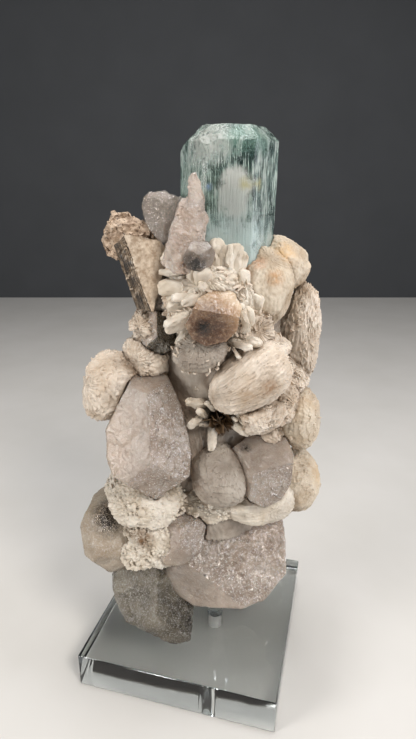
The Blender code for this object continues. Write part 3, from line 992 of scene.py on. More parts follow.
QUARTZ = {
    "quartz_left": (
        Crystal(
            (-18, -18, 108),
            (-83, 26),
            (
                (180, 15), (-160, 16.5), (-124, 18.5), (-56, 20.5), (-8, 16), (9, 14), (23, 15),
                (57, 23), (124, 22), (153, 14.5),
            ),
            ((180, 30, 11), (0, 32, 11), (-85, 42, 16), (90, 45, 19)),
            11,
        ),
    ),
    "quartz_right": (
        Crystal(
            (21.5, -17, 92.5),
            (-96, 30),
            (
                (-147, 9.5), (-134, 9.5), (-106, 11.5), (-63, 13), (-28, 13), (-3, 13), (24, 15),
                (89, 13.5), (129, 12.5),
            ),
            ((80, 28, 9), (-50, 32, 9), (-165, 42, 8.5)),
            9,
        ),
    ),
    "quartz_lower_left": (
        Crystal(
            (-34.5, -12, 62.5),
            (-78, 36),
            (
                (-173, 12.5), (-130, 13.5), (-77, 14.5), (-48, 13.5), (-5, 13), (37, 13.5),
                (62, 15.5), (115, 17), (152, 13.5),
            ),
            ((0, 6, 9), (180, 50, 12), (120, 48, 13.5), (-95, 45, 13)),
            10,
        ),
    ),
    "quartz_base": (
        Crystal(
            (7, -8, 48.5),
            (-91, 39),
            (
                (-145, 24.5), (-122, 22), (-90, 20.5), (-69, 22.5), (-44, 25), (-2, 27.5), (47, 29),
                (87, 22.5), (124, 28), (180, 27),
            ),
            ((30, 14, 15), (-120, 46, 19.5), (50, 45, 23), (-170, 45, 22)),
            12,
        ),
        Crystal(
            (-8, -20, 65.5),
            (-86, 37),
            (
                (180, 10.5), (-137, 10.5), (-99, 10.5), (-54, 9.5), (-14, 10), (42, 11), (83, 11),
                (126, 12.5),
            ),
            ((180, 28, 8), (-10, 34, 8), (-80, 48, 9), (80, 45, 9)),
            12,
        ),
    ),
    "quartz_foot": (
        Crystal(
            (-17, -18, 33.5),
            (-83, 43),
            (
                (176, 18.5), (-157, 14.5), (-118, 12), (-86, 16.5), (-7, 14), (17, 16), (48, 13.5),
                (78, 15.5), (133, 20.5),
            ),
            ((-170, 34, 11.5), (-15, 34, 11), (-90, 50, 13)),
            9,
            ((-90, 133, 13.5),),
        ),
    ),
    "quartz_spire": (
        Crystal(
            (-4, -18, 178.5),
            (-88, 5),
            ((160, 4.5), (-127, 12), (-83, 12), (-25, 7), (-8, 7), (22, 9), (57, 11), (123, 9.5)),
            ((180, 45, 6), (0, 42, 5.8), (0, 0, 4.2), (90, 62, 9.5)),
            4.5,
        ),
        Crystal(
            (-0.6, -18, 187.5),
            (-89, 1),
            ((175, 2.6), (135, 7), (95, 9.4), (21, 3.8), (-5, 3), (-60, 9), (-120, 9)),
            ((180, 55, 2.8), (0, 50, 2.8), (0, 0, 2.2)),
            2.4,
        ),
    ),
    "smoky_quartz_small": (
        Crystal(
            (0.5, -23, 172.5),
            (-89, 7),
            ((154, 4), (93, 4.5), (34, 5), (-16, 5), (-68, 4.5), (-99, 4.5), (-160, 5)),
            ((90, 38, 3.8), (-30, 38, 3.8), (-150, 38, 3.8)),
            4.5,
        ),
    ),
    "smoky_quartz_tall": (
        Crystal(
            (-11.5, -5, 182.5),
            (-85, 3),
            ((-171, 6.5), (-139, 6), (-105, 7), (-27, 7), (-1, 7), (65, 8.5), (94, 9), (141, 9)),
            ((180, 36, 5.5), (0, 36, 5), (90, 58, 8)),
            5,
        ),
    ),
    "stained_quartz": (
        Crystal(
            (5.5, -24, 153),
            (-91, 14),
            (
                (-155, 9.5), (-118, 9.5), (-78, 8.5), (-40, 8), (-14, 8), (26, 9.5), (74, 9.5),
                (123, 8), (154, 7.5),
            ),
            ((-90, 24, 6), (75, 40, 6.5)),
            6,
        ),
    ),
    "grey_quartz": (
        Crystal(
            (-14, -10, 143),
            (-84, 16),
            ((174, 9), (-157, 6.5), (-127, 6), (-56, 6.5), (-18, 7.5), (54, 8), (89, 8.5)),
            ((180, 40, 6), (0, 36, 5.5), (-90, 46, 5.5)),
            5,
        ),
    ),
}

MICA = Crystal(
    (-18.5, -13, 165),
    (-83, 9),
    ((130, 13), (81, 12), (42, 12), (-16, 6.5), (-104, 11.5), (-160, 6.5)),
    ((5, 26, 4), (-158, 50, 4.6)),
    6,
    ((-175, 154, 2.5),),
)

FELDSPAR = Crystal(
    (-23, -2, 176),
    (-82, 5),
    ((-162, 11), (-112, 9.5), (-87, 8.5), (-45, 10), (47, 6), (90, 9), (156, 10)),
    ((90, 40, 6.5), (-60, 30, 6.5), (180, 38, 7.5)),
    6,
)


@dataclass(frozen=True)
class Surface:
    """How an etched crystal's faces depart from flat, in millimetres."""

    edge: float = 0.5  # how far its edges are rounded
    mesh: float = 0.75  # the spacing of its mesh
    swell: float = 0.25  # height of its gentle swells
    swell_size: float = 6.5
    steps: float = 0.28  # height of a growth step
    step_size: float = 9.0
    pits: float = 0.05  # on its smooth faces
    frost_pits: float = 0.42  # on its frosted faces
    pit_size: float = 1.1
    inset: float = 0.25  # how far etching took its faces back


@dataclass
class EtchedCrystal:
    """A crystal, or several grown together, with rounded edges, growth steps and etch pits.

    `finishes` are the smooth and the frosted finish, and `frosted` lists the frosted faces of each crystal
    by their places in its list of faces.
    """

    name: str
    crystals: tuple[Crystal, ...]
    finishes: list[Material]
    slot: str
    surface: Surface = field(default_factory=Surface)
    frosted: tuple[tuple[int, ...], ...] = ((),)
    frost_starts: float = 0.8  # cosine between a normal and a frosted face's, where its pits start
    frost_full: float = 0.95  # the same, where they have their full depth
    sharp: float = 30.0  # edges sharper than this many degrees stay sharp

    def body(self, crystal: Crystal, frosted: tuple[int, ...]) -> Mesh:
        """Cuts one of the crystals and etches its faces.

        Args:
            crystal: The crystal.
            frosted: Its frosted faces.

        Returns:
            Its mesh, with the frosted faces in the second material and flat, so that they glitter.
        """
        s = self.surface
        faces = crystal.faces()
        bm = crystal_body(crystal.centre, faces)
        round_edges(bm, s.edge)
        refine(bm, s.mesh)
        for polygon in bm.faces:
            nearest = max(range(len(faces)), key=lambda i: polygon.normal.dot(faces[i][0]))
            polygon.material_index = int(nearest in frosted)
            polygon.smooth = nearest not in frosted
        mesh = mesh_from(bm, self.name)
        points, pointing = coordinates(mesh), normals(mesh)
        toward = [pointing @ np.array(faces[i][0]) for i in frosted]
        fade = self.frost_full - self.frost_starts
        frost = np.clip((np.max(toward, axis=0) - self.frost_starts) / fade, 0, 1) if toward else 0.0
        seed = len(self.name)
        height = s.swell * lattice_noise(points, s.swell_size, seed)
        height += s.steps * (np.floor(2 * lattice_noise(points, s.step_size, seed + 1)) + 0.5)
        height -= s.inset
        pits = s.pits + (s.frost_pits - s.pits) * frost
        height += pits * (facet_noise(points, s.pit_size, seed + 2) - 0.3)
        set_coordinates(mesh, points + pointing * height[:, None])
        return mesh

    def build(self) -> Object:
        """Builds the piece.

        Returns:
            The piece.
        """
        whole = bmesh.new()
        for crystal, frosted in itertools.zip_longest(self.crystals, self.frosted, fillvalue=()):
            part = self.body(crystal, frosted)
            whole.from_mesh(part)
            bpy.data.meshes.remove(part)
        mesh = mesh_from(whole, self.name)
        mesh.set_sharp_from_angle(angle=math.radians(self.sharp))
        return add_piece(self.name, mesh, self.finishes, (self.name,), sharp=None)


@dataclass
class BerylPrism:
    """The aquamarine: flat faces cut into fine upright striations, and the cloud inside its foot."""

    finish: Material
    veil: Material
    form: BerylForm = BERYL
    strip: float = 0.42  # width of a striation
    band: float = 2.4  # length of a striation before it changes
    depth: float = 0.035  # of a striation
    edge: float = 0.18
    end_mesh: float = 1.0  # spacing of the mesh of the rough end
    end_rough: float = 0.16
    scar: tuple = (0.9, -10.0, 207.0)  # the middle of the corner that is etched away
    scar_radius: float = 10.0
    scar_depth: float = 0.5
    crack_level: float = 183.0
    cloud_skin: float = 0.7  # how far the cloud stays inside the faces
    dip: tuple = (13.0, 3.2, 6.5)  # where the cloud's top dips, how widely and how deeply
    flecks: int = 700
    fleck_skin: float = 0.8
    fleck_spread: float = 6.5  # from the foot's middle
    fleck_sizes: tuple = (0.3, 1.1)

    def slice_faces(
        self, bm: BMesh, chosen: list[BMFace], at: Vector, across: Vector
    ) -> None:
        """Cuts some faces along a plane.

        Args:
            bm: The prism.
            chosen: The faces.
            at: A point of the plane.
            across: The plane's normal.
        """
        verts = {v for f in chosen for v in f.verts}
        edges = {e for f in chosen for e in f.edges}
        bmesh.ops.bisect_plane(bm, geom=[*verts, *edges, *chosen], dist=1e-4, plane_co=at, plane_no=across)

    def striate(self, bm: BMesh) -> None:
        """Cuts the upright faces into strips and bands, and the end into small faces.

        Args:
            bm: The prism.
        """
        axis, centre = self.form.axis, self.form.centre
        stand = standing_along(axis)
        reach = self.form.apothem / math.cos(math.radians(30))
        # A strip or band is up to 0.4 times wider or narrower than usual, without an order that shows
        for i in range(6):
            side = stand @ direction(30 + 60 * i, 0)
            along = axis.cross(side)
            offset = -reach / 2
            while offset < reach / 2:
                upright = [f for f in bm.faces if f.normal.dot(side) > 0.97]
                self.slice_faces(bm, upright, centre + along * offset, along)
                offset += self.strip * (0.6 + 0.8 * (0.5 + 0.5 * math.sin(offset * 7.3 + i)))
        level = -self.form.height / 2 + self.band
        while level < self.form.height / 2:
            self.slice_faces(bm, bm.faces[:], centre + axis * level, axis)
            level += self.band * (0.7 + 0.6 * (0.5 + 0.5 * math.sin(level * 3.1)))
        for along in (Vector((1, 0, 0)), Vector((0, 1, 0))):
            for i in range(math.ceil(-reach / self.end_mesh), math.ceil(reach / self.end_mesh)):
                end = [f for f in bm.faces if f.normal.dot(axis) > 0.3]
                self.slice_faces(bm, end, centre + along * (i + 0.37) * self.end_mesh, along)

    def mesh(self) -> Mesh:
        """Cuts the prism, sinks every striation by its own depth, and roughens the end.

        Returns:
            The mesh.
        """
        bm = crystal_body(self.form.centre, self.form.faces())
        round_edges(bm, self.edge, 1)
        self.striate(bm)
        bmesh.ops.triangulate(bm, faces=[f for f in bm.faces if len(f.verts) > 4])
        bmesh.ops.recalc_face_normals(bm, faces=bm.faces)
        mesh = mesh_from(bm, "aquamarine")
        points, pointing = coordinates(mesh), normals(mesh)
        axis = np.array(self.form.axis)
        level = (points - np.array(self.form.centre)) @ axis
        flat = points - level[:, None] * axis
        upright = np.abs(pointing @ axis) < 0.3
        slow = np.column_stack([flat[:, 0], flat[:, 1], level * 0.06])
        sink = 0.5 + 0.5 * lattice_noise(slow, 0.55, seed=3) + 0.6 * lattice_noise(slow, 2.4, seed=4)
        sink = np.clip(sink, 0, 1.2) * self.depth
        rough = self.end_rough * (0.8 - facet_noise(points, 2.2, seed=12))
        away = np.linalg.norm(points - np.array(self.scar), axis=1) / self.scar_radius
        scar = np.clip(1.6 - 1.6 * away + 0.5 * lattice_noise(points, 3.0, seed=13), 0, 1)
        etched = self.scar_depth * scar * (0.8 - facet_noise(points, 1.5, seed=14))
        points -= pointing * (np.where(upright, sink, rough) + etched)[:, None]
        set_coordinates(mesh, points)
        return mesh

    def cloud_mesh(self) -> Mesh:
        """Models the milky cloud that fills the foot up to an old crack.

        Returns:
            The mesh.
        """
        faces = self.form.faces(-self.cloud_skin)
        top = self.crack_level - self.form.centre.z
        bm = crystal_body(self.form.centre, [*faces, (Vector((0, 0, 1)), top)])
        round_edges(bm, 0.8, 1)
        refine(bm, 0.9)
        mesh = mesh_from(bm, "aquamarine_cloud")
        points = coordinates(mesh)
        near_top = np.clip((points[:, 2] - self.crack_level + 12) / 12, 0, 1)
        middle, width, depth = self.dip
        dip = depth * np.exp(-(((points[:, 0] - middle) / width) ** 2))
        ripple = 1.2 * lattice_noise(points * (1, 1, 0), 3.0, seed=15)
        points[:, 2] -= near_top * (dip + ripple + 0.6)
        set_coordinates(mesh, points)
        return mesh

    def flecks_mesh(self) -> Mesh:
        """Scatters flecks over the crack, and every third one up the crystal.

        Returns:
            One mesh of all of them.
        """
        rng = np.random.default_rng(21)
        bm = bmesh.new()
        faces = self.form.faces(-self.fleck_skin)
        for i in range(self.flecks):
            away = rng.normal(size=2) * self.fleck_spread
            level, tilt = self.crack_level + 0.4 + 0.05 * away[0] + abs(rng.normal(0, 0.5)), 0.1
            if i % 3 == 0:
                level, tilt = rng.triangular(self.crack_level, 206, 209), 0.8
            spot = Vector((self.form.foot[0] + away[0], self.form.foot[1] + away[1], level))
            if any((spot - self.form.centre).dot(n) > d for n, d in faces):
                continue
            size = rng.uniform(*self.fleck_sizes)
            lean = Vector((rng.normal(0, tilt), rng.normal(0, tilt), 1)).normalized()
            place = Matrix.Translation(spot) @ standing_along(lean).to_4x4()
            place @= Matrix.Diagonal((size, size * rng.uniform(0.4, 1), 0.05, 1))
            bmesh.ops.create_icosphere(bm, subdivisions=1, radius=0.7, matrix=place)
        return mesh_from(bm, "aquamarine_flecks")

    def build(self) -> list[Object]:
        """Builds the crystal and what is inside it.

        Returns:
            The pieces.
        """
        veil = [self.veil]
        return [
            add_piece("aquamarine", self.mesh(), [self.finish], ("aquamarine",), sharp=None),
            add_piece("aquamarine_cloud", self.cloud_mesh(), veil, sharp=40.0),
            add_piece("aquamarine_flecks", self.flecks_mesh(), veil, sharp=None),
        ]


# ---------- The albite ----------


class Habit(Enum):
    """How the blades of a rosette show on its outside."""

    BALL = "ball"
    SMOOTH = "smooth"
    FAN = "fan"
    DISC = "disc"
    SUGAR = "sugar"


class Tone(Enum):
    """Which of the albite's finishes a rosette wears."""

    PLAIN = "plain"
    CREAM = "cream"
    # Greyer albite, also darkened as painted shade for the rosettes that sit in shade
    GREY_PAINTED_SHADE = "grey"
    SNOW = "snow"


@dataclass(frozen=True)
class HabitShape:
    """The relief of one habit, in millimetres."""

    leaf: float  # spacing of the blades
    ridge: float  # height of a blade's edge
    shingle: float  # height of the step where a blade ends
    shingle_length: float
    lump: float  # height of its lumps
    grain: float  # height of its grains
    grain_size: float


HABITS = {
    Habit.BALL: HabitShape(1.9, 0.42, 0.55, 4.5, 1.1, 0.32, 1.4),
    Habit.SMOOTH: HabitShape(1.7, 0.2, 0.28, 5.0, 0.9, 0.2, 1.3),
    Habit.FAN: HabitShape(1.4, 0.3, 0.38, 6.0, 0.7, 0.22, 1.2),
    Habit.DISC: HabitShape(1.2, 0.22, 0.4, 2.2, 0.5, 0.16, 1.0),
    Habit.SUGAR: HabitShape(2.6, 0.08, 0.15, 3.0, 1.2, 0.55, 1.4),
}


@dataclass(frozen=True)
class Rosette:
    """A ball or fan of albite blades that spreads from its root to its rim, which faces `opens`."""

    centre: tuple
    radii: tuple
    opens: tuple = (-90, 20)  # azimuth and elevation
    roll: float = 0.0  # degrees about the line from the front to the back
    habit: Habit = Habit.BALL
    tone: Tone = Tone.PLAIN
    seen: bool = True  # whether it faces the front, and gets the finer mesh
    splinters: int = 0  # how many loose blades stand on it
    coarse: float = 1.0  # how large those are

    @property
    def size(self) -> float:
        """Its mean radius."""
        return sum(self.radii) / 3

    def level(self, points: np.ndarray) -> np.ndarray:
        """Less than 1 inside it and more outside, for points of shape (n, 3)."""
        return (((points - np.array(self.centre, float)) / np.array(self.radii)) ** 2).sum(axis=1)


CORES = {
    "core_low": Rosette((2, 0, 76), (24, 17, 46), habit=Habit.SUGAR, tone=Tone.GREY_PAINTED_SHADE),
    "core_high": Rosette((8, 0, 136), (22, 15, 37), habit=Habit.SUGAR, tone=Tone.GREY_PAINTED_SHADE),
}

SMOOTH, FAN, DISC, SUGAR = Habit.SMOOTH, Habit.FAN, Habit.DISC, Habit.SUGAR
CREAM, GREY_PAINTED_SHADE, SNOW = Tone.CREAM, Tone.GREY_PAINTED_SHADE, Tone.SNOW

ROSETTES = {
    "collar": Rosette((22.5, -7, 158.5), (10.5, 10, 14.5), (-75, 60), 4, SMOOTH, CREAM),
    "collar_back": Rosette((30, 4, 165), (10, 10.5, 10.5), (-20, 60), 0, SMOOTH, CREAM),
    "right_plate": Rosette((37.5, 3, 140), (8, 12, 19), (-10, 5), 2, SUGAR, splinters=40),
    "right_bud": Rosette((25.5, -13, 140.5), (6.4, 6.5, 4.8), (-50, -20), 25, splinters=30),
    "neck_bud": Rosette((19, -14, 147), (7, 6.5, 7), (-80, 0), splinters=60),
    "shoulder": Rosette((33, -2, 125), (8, 10, 9), (-40, 30), splinters=80),
    "right_ball": Rosette((36.5, -6, 110), (9.4, 11, 12.2), (-20, 0), -10, DISC, CREAM, splinters=20),
    "right_foot": Rosette((36, -3, 80), (12, 12, 13.4), (-20, 20), 20, FAN, CREAM),
    "brow": Rosette((1, -17, 139), (9.6, 9, 7.4), (-100, 40), -15, DISC, GREY_PAINTED_SHADE, splinters=60),
    "great_fan": Rosette((17.5, -18, 129.5), (16, 13, 10.5), (15, 20), -38, FAN),
    "fan_hem": Rosette((22.5, -19, 116.5), (8, 8, 6), (-60, -30), -20, splinters=30),
    "fan_foot": Rosette((27, -7, 105), (8, 8.5, 8), (-50, -20), 10, splinters=40),
    "fan_edge": Rosette((30, -10, 119), (7, 9, 9), (-50, 0), splinters=60),
    "disc": Rosette((8, -17, 90), (11.5, 12, 12), (-60, 55), -30, DISC, GREY_PAINTED_SHADE),
    "left_ball": Rosette((-30.5, -8, 123.5), (11.8, 12, 13.6), (-150, 10), 28, splinters=50),
    "left_neck": Rosette((-9, -3, 152), (9, 9, 12), (-120, 20), splinters=60),
    "left_bridge": Rosette((-14, -1, 166), (7, 7, 8), (-120, 40), splinters=30),
    "left_waist": Rosette((-18, -6, 134), (9, 9, 10), (-120, 0), splinters=80),
    "snow_upper": Rosette((-19, -16, 80), (15, 12, 9.5), (-120, 10), 0, SUGAR, SNOW),
    "snow_lower": Rosette((-15.5, -20, 65), (10, 9, 10), (-110, -10), 0, SUGAR, SNOW),
    "snow_left": Rosette((-30, -12, 83), (6, 6, 6), (-140, 20), 0, SUGAR, SNOW),
    "snow_edge": Rosette((-21, -21, 71), (7, 6, 6), (-120, 0), 0, SUGAR, SNOW),
    "snow_foot": Rosette((-23, -23, 60), (6.5, 6, 5), (-120, -20), 0, SUGAR, SNOW),
    "snow_right": Rosette((22, -10, 78), (16, 12, 10), (-70, 0), 0, SMOOTH, SNOW),
    "snow_middle": Rosette((5, -12, 77.5), (15, 8.5, 8), (-90, 0), 0, SUGAR, SNOW),
    "spray_bed": Rosette((5, -16, 160.5), (10, 7.5, 8.5), (-110, 30), tone=SNOW, splinters=220, coarse=1.3),
    "spray_left": Rosette((-3, -15, 156), (8.5, 7, 8.5), (-160, 0), tone=SNOW, splinters=180, coarse=1.3),
    "spray_right": Rosette((14, -13, 153), (7.5, 7, 12.5), (-60, 80), tone=SNOW, splinters=220, coarse=1.3),
    "mica_foot": Rosette((-17, -9, 147), (6.5, 6, 6.5), (-130, 0), splinters=40),
    "back_knob": Rosette((10.5, 21, 188), (8, 6, 12), (90, 70), 0, SMOOTH, CREAM, False),
    "back_crown": Rosette((12, 20, 170), (10, 9, 14), (90, 50), 5, SMOOTH, CREAM, False),
    "back_neck": Rosette((10, 14, 154), (13, 12, 11), (80, 30), seen=False, splinters=90),
    "back_left_high": Rosette((-9, 9, 148), (12, 11, 12), (130, 30), seen=False, splinters=90),
    "back_right_high": Rosette((24, 14, 141), (13, 11, 13), (60, 20), 0, FAN, seen=False, splinters=60),
    "back_middle": Rosette((2, 18, 126), (15, 11, 14), (95, 10), 20, FAN, seen=False, splinters=40),
    "back_left": Rosette((-18, 10, 116), (12, 12, 14), (150, 10), seen=False, splinters=120),
    "back_right": Rosette((24, 12, 108), (14, 12, 14), (45, 0), -20, FAN, CREAM, False, 60),
    "back_centre": Rosette((4, 18, 100), (13, 11, 14), (95, 0), 20, DISC, GREY_PAINTED_SHADE, False, 20),
    "back_left_low": Rosette((-18, 11, 86), (14, 13, 14), (140, -10), 0, FAN, seen=False, splinters=60),
    "back_low": Rosette((8, 17, 74), (15, 12, 15), (90, -10), 15, seen=False, splinters=80),
    "back_right_low": Rosette((24, 10, 62), (12, 13, 13), (40, -20), 0, SMOOTH, CREAM, False),
    "back_gap_crown": Rosette((1, 15, 160), (8, 7, 10), (110, 40), 15, SUGAR, SNOW, False, 60),
    "back_gap_high": Rosette((14, 19, 140), (7, 7, 11), (80, 10), -25, FAN, seen=False, splinters=60),
    "back_gap_side": Rosette((-13, 15, 131), (10, 7, 8), (120, 10), 10, SUGAR, seen=False, splinters=80),
    "back_gap_middle": Rosette((16, 17, 116), (8, 8, 7), (70, 10), 0, SUGAR, SNOW, False, 60),
    "back_gap_left": Rosette((-9, 18, 111), (8, 6, 10), (110, 0), 30, FAN, seen=False, splinters=40),
    "back_gap_low": Rosette((-5, 19, 87), (9, 7, 8), (100, -5), 0, SUGAR, seen=False, splinters=80),
    "back_gap_right": Rosette((21, 17, 88), (9, 8, 10), (60, 0), 20, FAN, seen=False, splinters=60),
    "back_gap_edge": Rosette((31, 8, 84), (8, 9, 9), (20, 0), 0, SUGAR, SNOW, False, 60),
    "back_gap_foot": Rosette((14, 14, 60), (10, 9, 8), (80, -20), 0, SUGAR, seen=False, splinters=60),
    "back_foot": Rosette((-4, 11, 52), (15, 12, 12), (100, -35), 0, SUGAR, SNOW, False),
}


@dataclass(frozen=True)
class Blade:
    """A small flat albite crystal: its root, where it points, its size, and how many grow beside it."""

    root: tuple
    points: tuple  # azimuth and elevation
    size: tuple  # length, width and thickness
    spin: float = 0.0  # degrees about its length
    company: int = 5


BLADES = (
    Blade((0, -18, 161), (186, 4), (13, 6.4, 4.4), 10),
    Blade((1, -18, 155), (200, -26), (14, 7.0, 4.6), -10),
    Blade((0, -15, 166), (172, 24), (13, 5.4, 3.6), 30),
    Blade((2, -15, 168), (150, 60), (10, 5.0, 3.4), 40, 6),
    Blade((6, -15, 166), (80, 76), (11, 6.0, 3.8), 20, 8),
    Blade((10, -15, 164), (20, 74), (11, 6.4, 4.0), -10, 8),
    Blade((3, -17, 160), (-100, 45), (12, 7.0, 4.0), 15, 8),
    Blade((0, -15, 150), (205, -50), (11, 5.4, 4.0), 20),
    Blade((14, -14, 149), (-60, 84), (18, 6.0, 4.6), 25, 7),
    Blade((17, -14, 146), (-50, 70), (14, 6.2, 4.4), -20, 7),
    Blade((11, -14, 142), (-40, 10), (13, 5.0, 4.0), 10),
    Blade((2, -14, 118), (-140, 25), (9, 4.4, 3.4), 0, 3),
    Blade((2, -14, 113), (-130, 0), (9, 4.0, 3.2), 20, 3),
    Blade((5, -15, 110), (-95, -55), (9, 3.4, 2.6), 10, 0),
    Blade((12, -14, 112), (-60, -8), (10, 3.8, 3.2), 15, 3),
    Blade((14, -14, 116), (-50, 8), (10, 4.0, 3.2), 15, 3),
    Blade((9, -14, 119), (-80, 20), (9, 3.6, 3.0), -15, 3),
)


@dataclass
class Socket:
    """The space of a crystal, which the albite keeps out of."""

    centre: np.ndarray
    normals: np.ndarray
    distances: np.ndarray

    @classmethod
    def of(cls, centre: tuple, faces: list[tuple[Vector, float]]) -> "Socket":
        """Makes the socket of a crystal.

        Args:
            centre: The crystal's centre.
            faces: A normal and a distance for each face.

        Returns:
            The socket.
        """
        return cls(
            np.array(centre, float),
            np.array([tuple(n) for n, _ in faces]),
            np.array([d for _, d in faces]),
        )

    def clear(self, points: np.ndarray, root: np.ndarray) -> np.ndarray:
        """Pushes points out of the crystal, onto the face that their rosette lies behind.

        Args:
            points: The points, of shape (n, 3).
            root: The rosette's centre.

        Returns:
            The points, moved where they were inside.
        """
        depth = (points - self.centre) @ self.normals.T - self.distances
        inside = depth.max(axis=1) < 0
        if not inside.any():
            return points
        of_root = (root - self.centre) @ self.normals.T - self.distances
        face = int(of_root.argmax())
        if of_root[face] < 0:
            return points
        moved = points.copy()
        moved[inside] -= np.outer(depth[inside, face], self.normals[face])
        return moved

    def distance(self, points: np.ndarray) -> np.ndarray:
        """About how far points of shape (n, 3) are outside the crystal."""
        return ((points - self.centre) @ self.normals.T - self.distances).max(axis=1)


@dataclass
class AlbiteMass:
    """The grown albite: two cores, the rosettes on them, loose blades, and sugary grains."""

    finishes: dict[Tone, Material]
    sockets: list[Socket]
    fine: tuple[int, int] = (176, 96)  # segments round and rings of a rosette that is seen
    coarse: tuple[int, int] = (112, 64)
    blunt: float = 0.22
    squareness: float = 4.5  # how square a thick blade is: 2 is an ellipsoid
    taper: float = 0.22  # how much narrower its free end is
    seam_width: float = 0.34  # how far the grime and painted shade at a seam spread, as a share of a rosette's radius squared
    contact_width: float = 1.1  # how far grime and painted shade spread from a crystal, in millimetres
    clearance: float = 0.3  # how far outside a crystal a splinter or a grain has to be
    showing: float = 0.85  # and how far out in another rosette, as its level
    own_crease_grime_and_shade: float = 0.85  # how strongly grime and painted shade darken a rosette's own creases
    sugar_crease_grime_and_shade: float = 0.35  # the same among sugary grains
    stray: float = 2.6  # how far a blade's company strays from its root
    stray_turn: float = 40.0  # and turns about its length, in degrees

    def relief(self, name: str, rosette: Rosette, unit: np.ndarray) -> np.ndarray:
        """The height of a rosette's blades, steps, lumps and grains.

        Args:
            name: Its name.
            rosette: Its place and habit.
            unit: Points of the unit ball, of shape (n, 3).

        Returns:
            Heights in millimetres, of shape (n,).
        """
        seed = sum(map(ord, name))
        shape, size = HABITS[rosette.habit], rosette.size
        real = unit * size + seed
        across = np.hypot(unit[:, 0], unit[:, 1])
        bend = 0.30 * lattice_noise(real, size * 0.9, seed) + 0.07 * lattice_noise(real, size * 0.25, seed)
        count = max(8, round(2 * math.pi * size / shape.leaf))
        phase = (np.arctan2(unit[:, 1], unit[:, 0]) + bend) * count / (2 * math.pi)
        leaf = np.floor(phase)
        own = cell_value((leaf % count)[:, None].astype(np.int64), seed)
        ridge = 1 - np.abs(2 * (phase - leaf) - 1)
        steps = math.pi * size / 2 / shape.shingle_length
        along = (unit[:, 2] + 1) / 2 * steps + 0.6 * lattice_noise(real, size * 0.5, seed + 2)
        along += own * (0.3 if rosette.habit is Habit.DISC else 0.9)
        shingle = 1 - (along - np.floor(along))
        relief = shape.ridge * (ridge**0.8 + 0.5 * own) + shape.shingle * shingle
        relief *= np.clip(across * 1.8, 0, 1)
        relief += shape.lump * lattice_noise(real, size * 0.42, seed + 3)
        relief += shape.grain * facet_noise(real, shape.grain_size, seed + 4)
        relief += 0.5 * shape.grain * facet_noise(real, shape.grain_size * 0.55, seed + 5)
        return relief - np.percentile(relief, 80)

    def seams(self, name: str, points: np.ndarray) -> np.ndarray:
        """Works out how close points are to where a rosette meets another one or a crystal.

        Args:
            name: The rosette's name.
            points: The points, of shape (n, 3).

        Returns:
            Numbers from 0 to 1, which is at the seam, of shape (n,). The finish darkens them with grime and
            painted shade.
        """
        seam = np.zeros(len(points))
        for other, rosette in ROSETTES.items():
            if other != name:
                near = 1 - np.abs(rosette.level(points) - 1.02) / self.seam_width
                seam = np.maximum(seam, near)
        for socket in self.sockets:
            seam = np.maximum(seam, 1 - np.abs(socket.distance(points)) / self.contact_width)
        return seam

    def rosette_mesh(self, name: str, rosette: Rosette) -> Mesh:
        """Models one rosette.

        Args:
            name: Its name.
            rosette: Its place and habit.

        Returns:
            Its mesh, with a "hollow" attribute that is 1 in the creases and seams, for grime and painted
            shade.
        """
        around, rings = self.fine if rosette.seen else self.coarse
        bm = bmesh.new()
        bmesh.ops.create_uvsphere(bm, u_segments=around, v_segments=rings, radius=1)
        mesh = mesh_from(bm, name)
        unit = coordinates(mesh)
        shape = HABITS[rosette.habit]
        relief = self.relief(name, rosette, unit)
        points = unit * (1 + relief / rosette.size)[:, None]
        points[:, 2] += self.blunt * (1 - unit[:, 2] ** 2)
        place = (
            Matrix.Translation(rosette.centre)
            @ Matrix.Rotation(math.radians(rosette.roll), 4, "Y")
            @ Matrix.Diagonal((*rosette.radii, 1))
            @ Matrix.Rotation(-math.radians(rosette.roll), 4, "Y")
            @ standing_along(direction(*rosette.opens)).to_4x4()
        )
        turned = np.array(place)
        points = points @ turned[:3, :3].T + turned[:3, 3]
        for socket in self.sockets:
            points = socket.clear(points, np.array(rosette.centre, float))
        set_coordinates(mesh, points)
        deepest = 1.3 * (shape.ridge + shape.shingle + shape.grain + 0.5 * shape.lump)
        own = self.sugar_crease_grime_and_shade if rosette.habit is Habit.SUGAR else self.own_crease_grime_and_shade
        hollow = np.maximum(-own * relief / deepest, self.seams(name, points))
        add_attribute(mesh, "hollow", np.clip(hollow, 0, 1))
        return mesh

    def blades_mesh(self) -> Mesh:
        """Models the loose blades, each with smaller ones grown beside it.

        Returns:
            One mesh of all of them, with a "hollow" attribute that darkens their dents with grime and
            painted shade.
        """
        bm = bmesh.new()
        rng = np.random.default_rng(7)
        for blade in BLADES:
            for i in range(1 + blade.company):
                size = np.array(blade.size) * (1.0 if i == 0 else rng.uniform(0.4, 0.8))
                root = Vector(blade.root) + Vector(rng.normal(0, self.stray if i else 0.01, 3))
                way = direction(*blade.points) + Vector(rng.normal(0, 0.32 if i else 0.01, 3))
                place = Matrix.Translation(root) @ standing_along(way.normalized()).to_4x4()
                spin = blade.spin + (rng.normal(0, self.stray_turn) if i else 0)
                place @= Matrix.Rotation(math.radians(spin), 4, "Z")
                self.add_tablet(bm, place, size, 3 if i else 4)
        mesh = mesh_from(bm, "albite_blades")
        points, pointing = coordinates(mesh), normals(mesh)
        relief = 0.4 * lattice_noise(points, 3.0, seed=4) + 0.25 * lattice_noise(points, 1.2, seed=5)
        relief += 0.3 * facet_noise(points, 1.2, seed=6)
        set_coordinates(mesh, points + pointing * relief[:, None])
        add_attribute(mesh, "hollow", np.clip(-relief * 0.7, 0, 1))
        return mesh

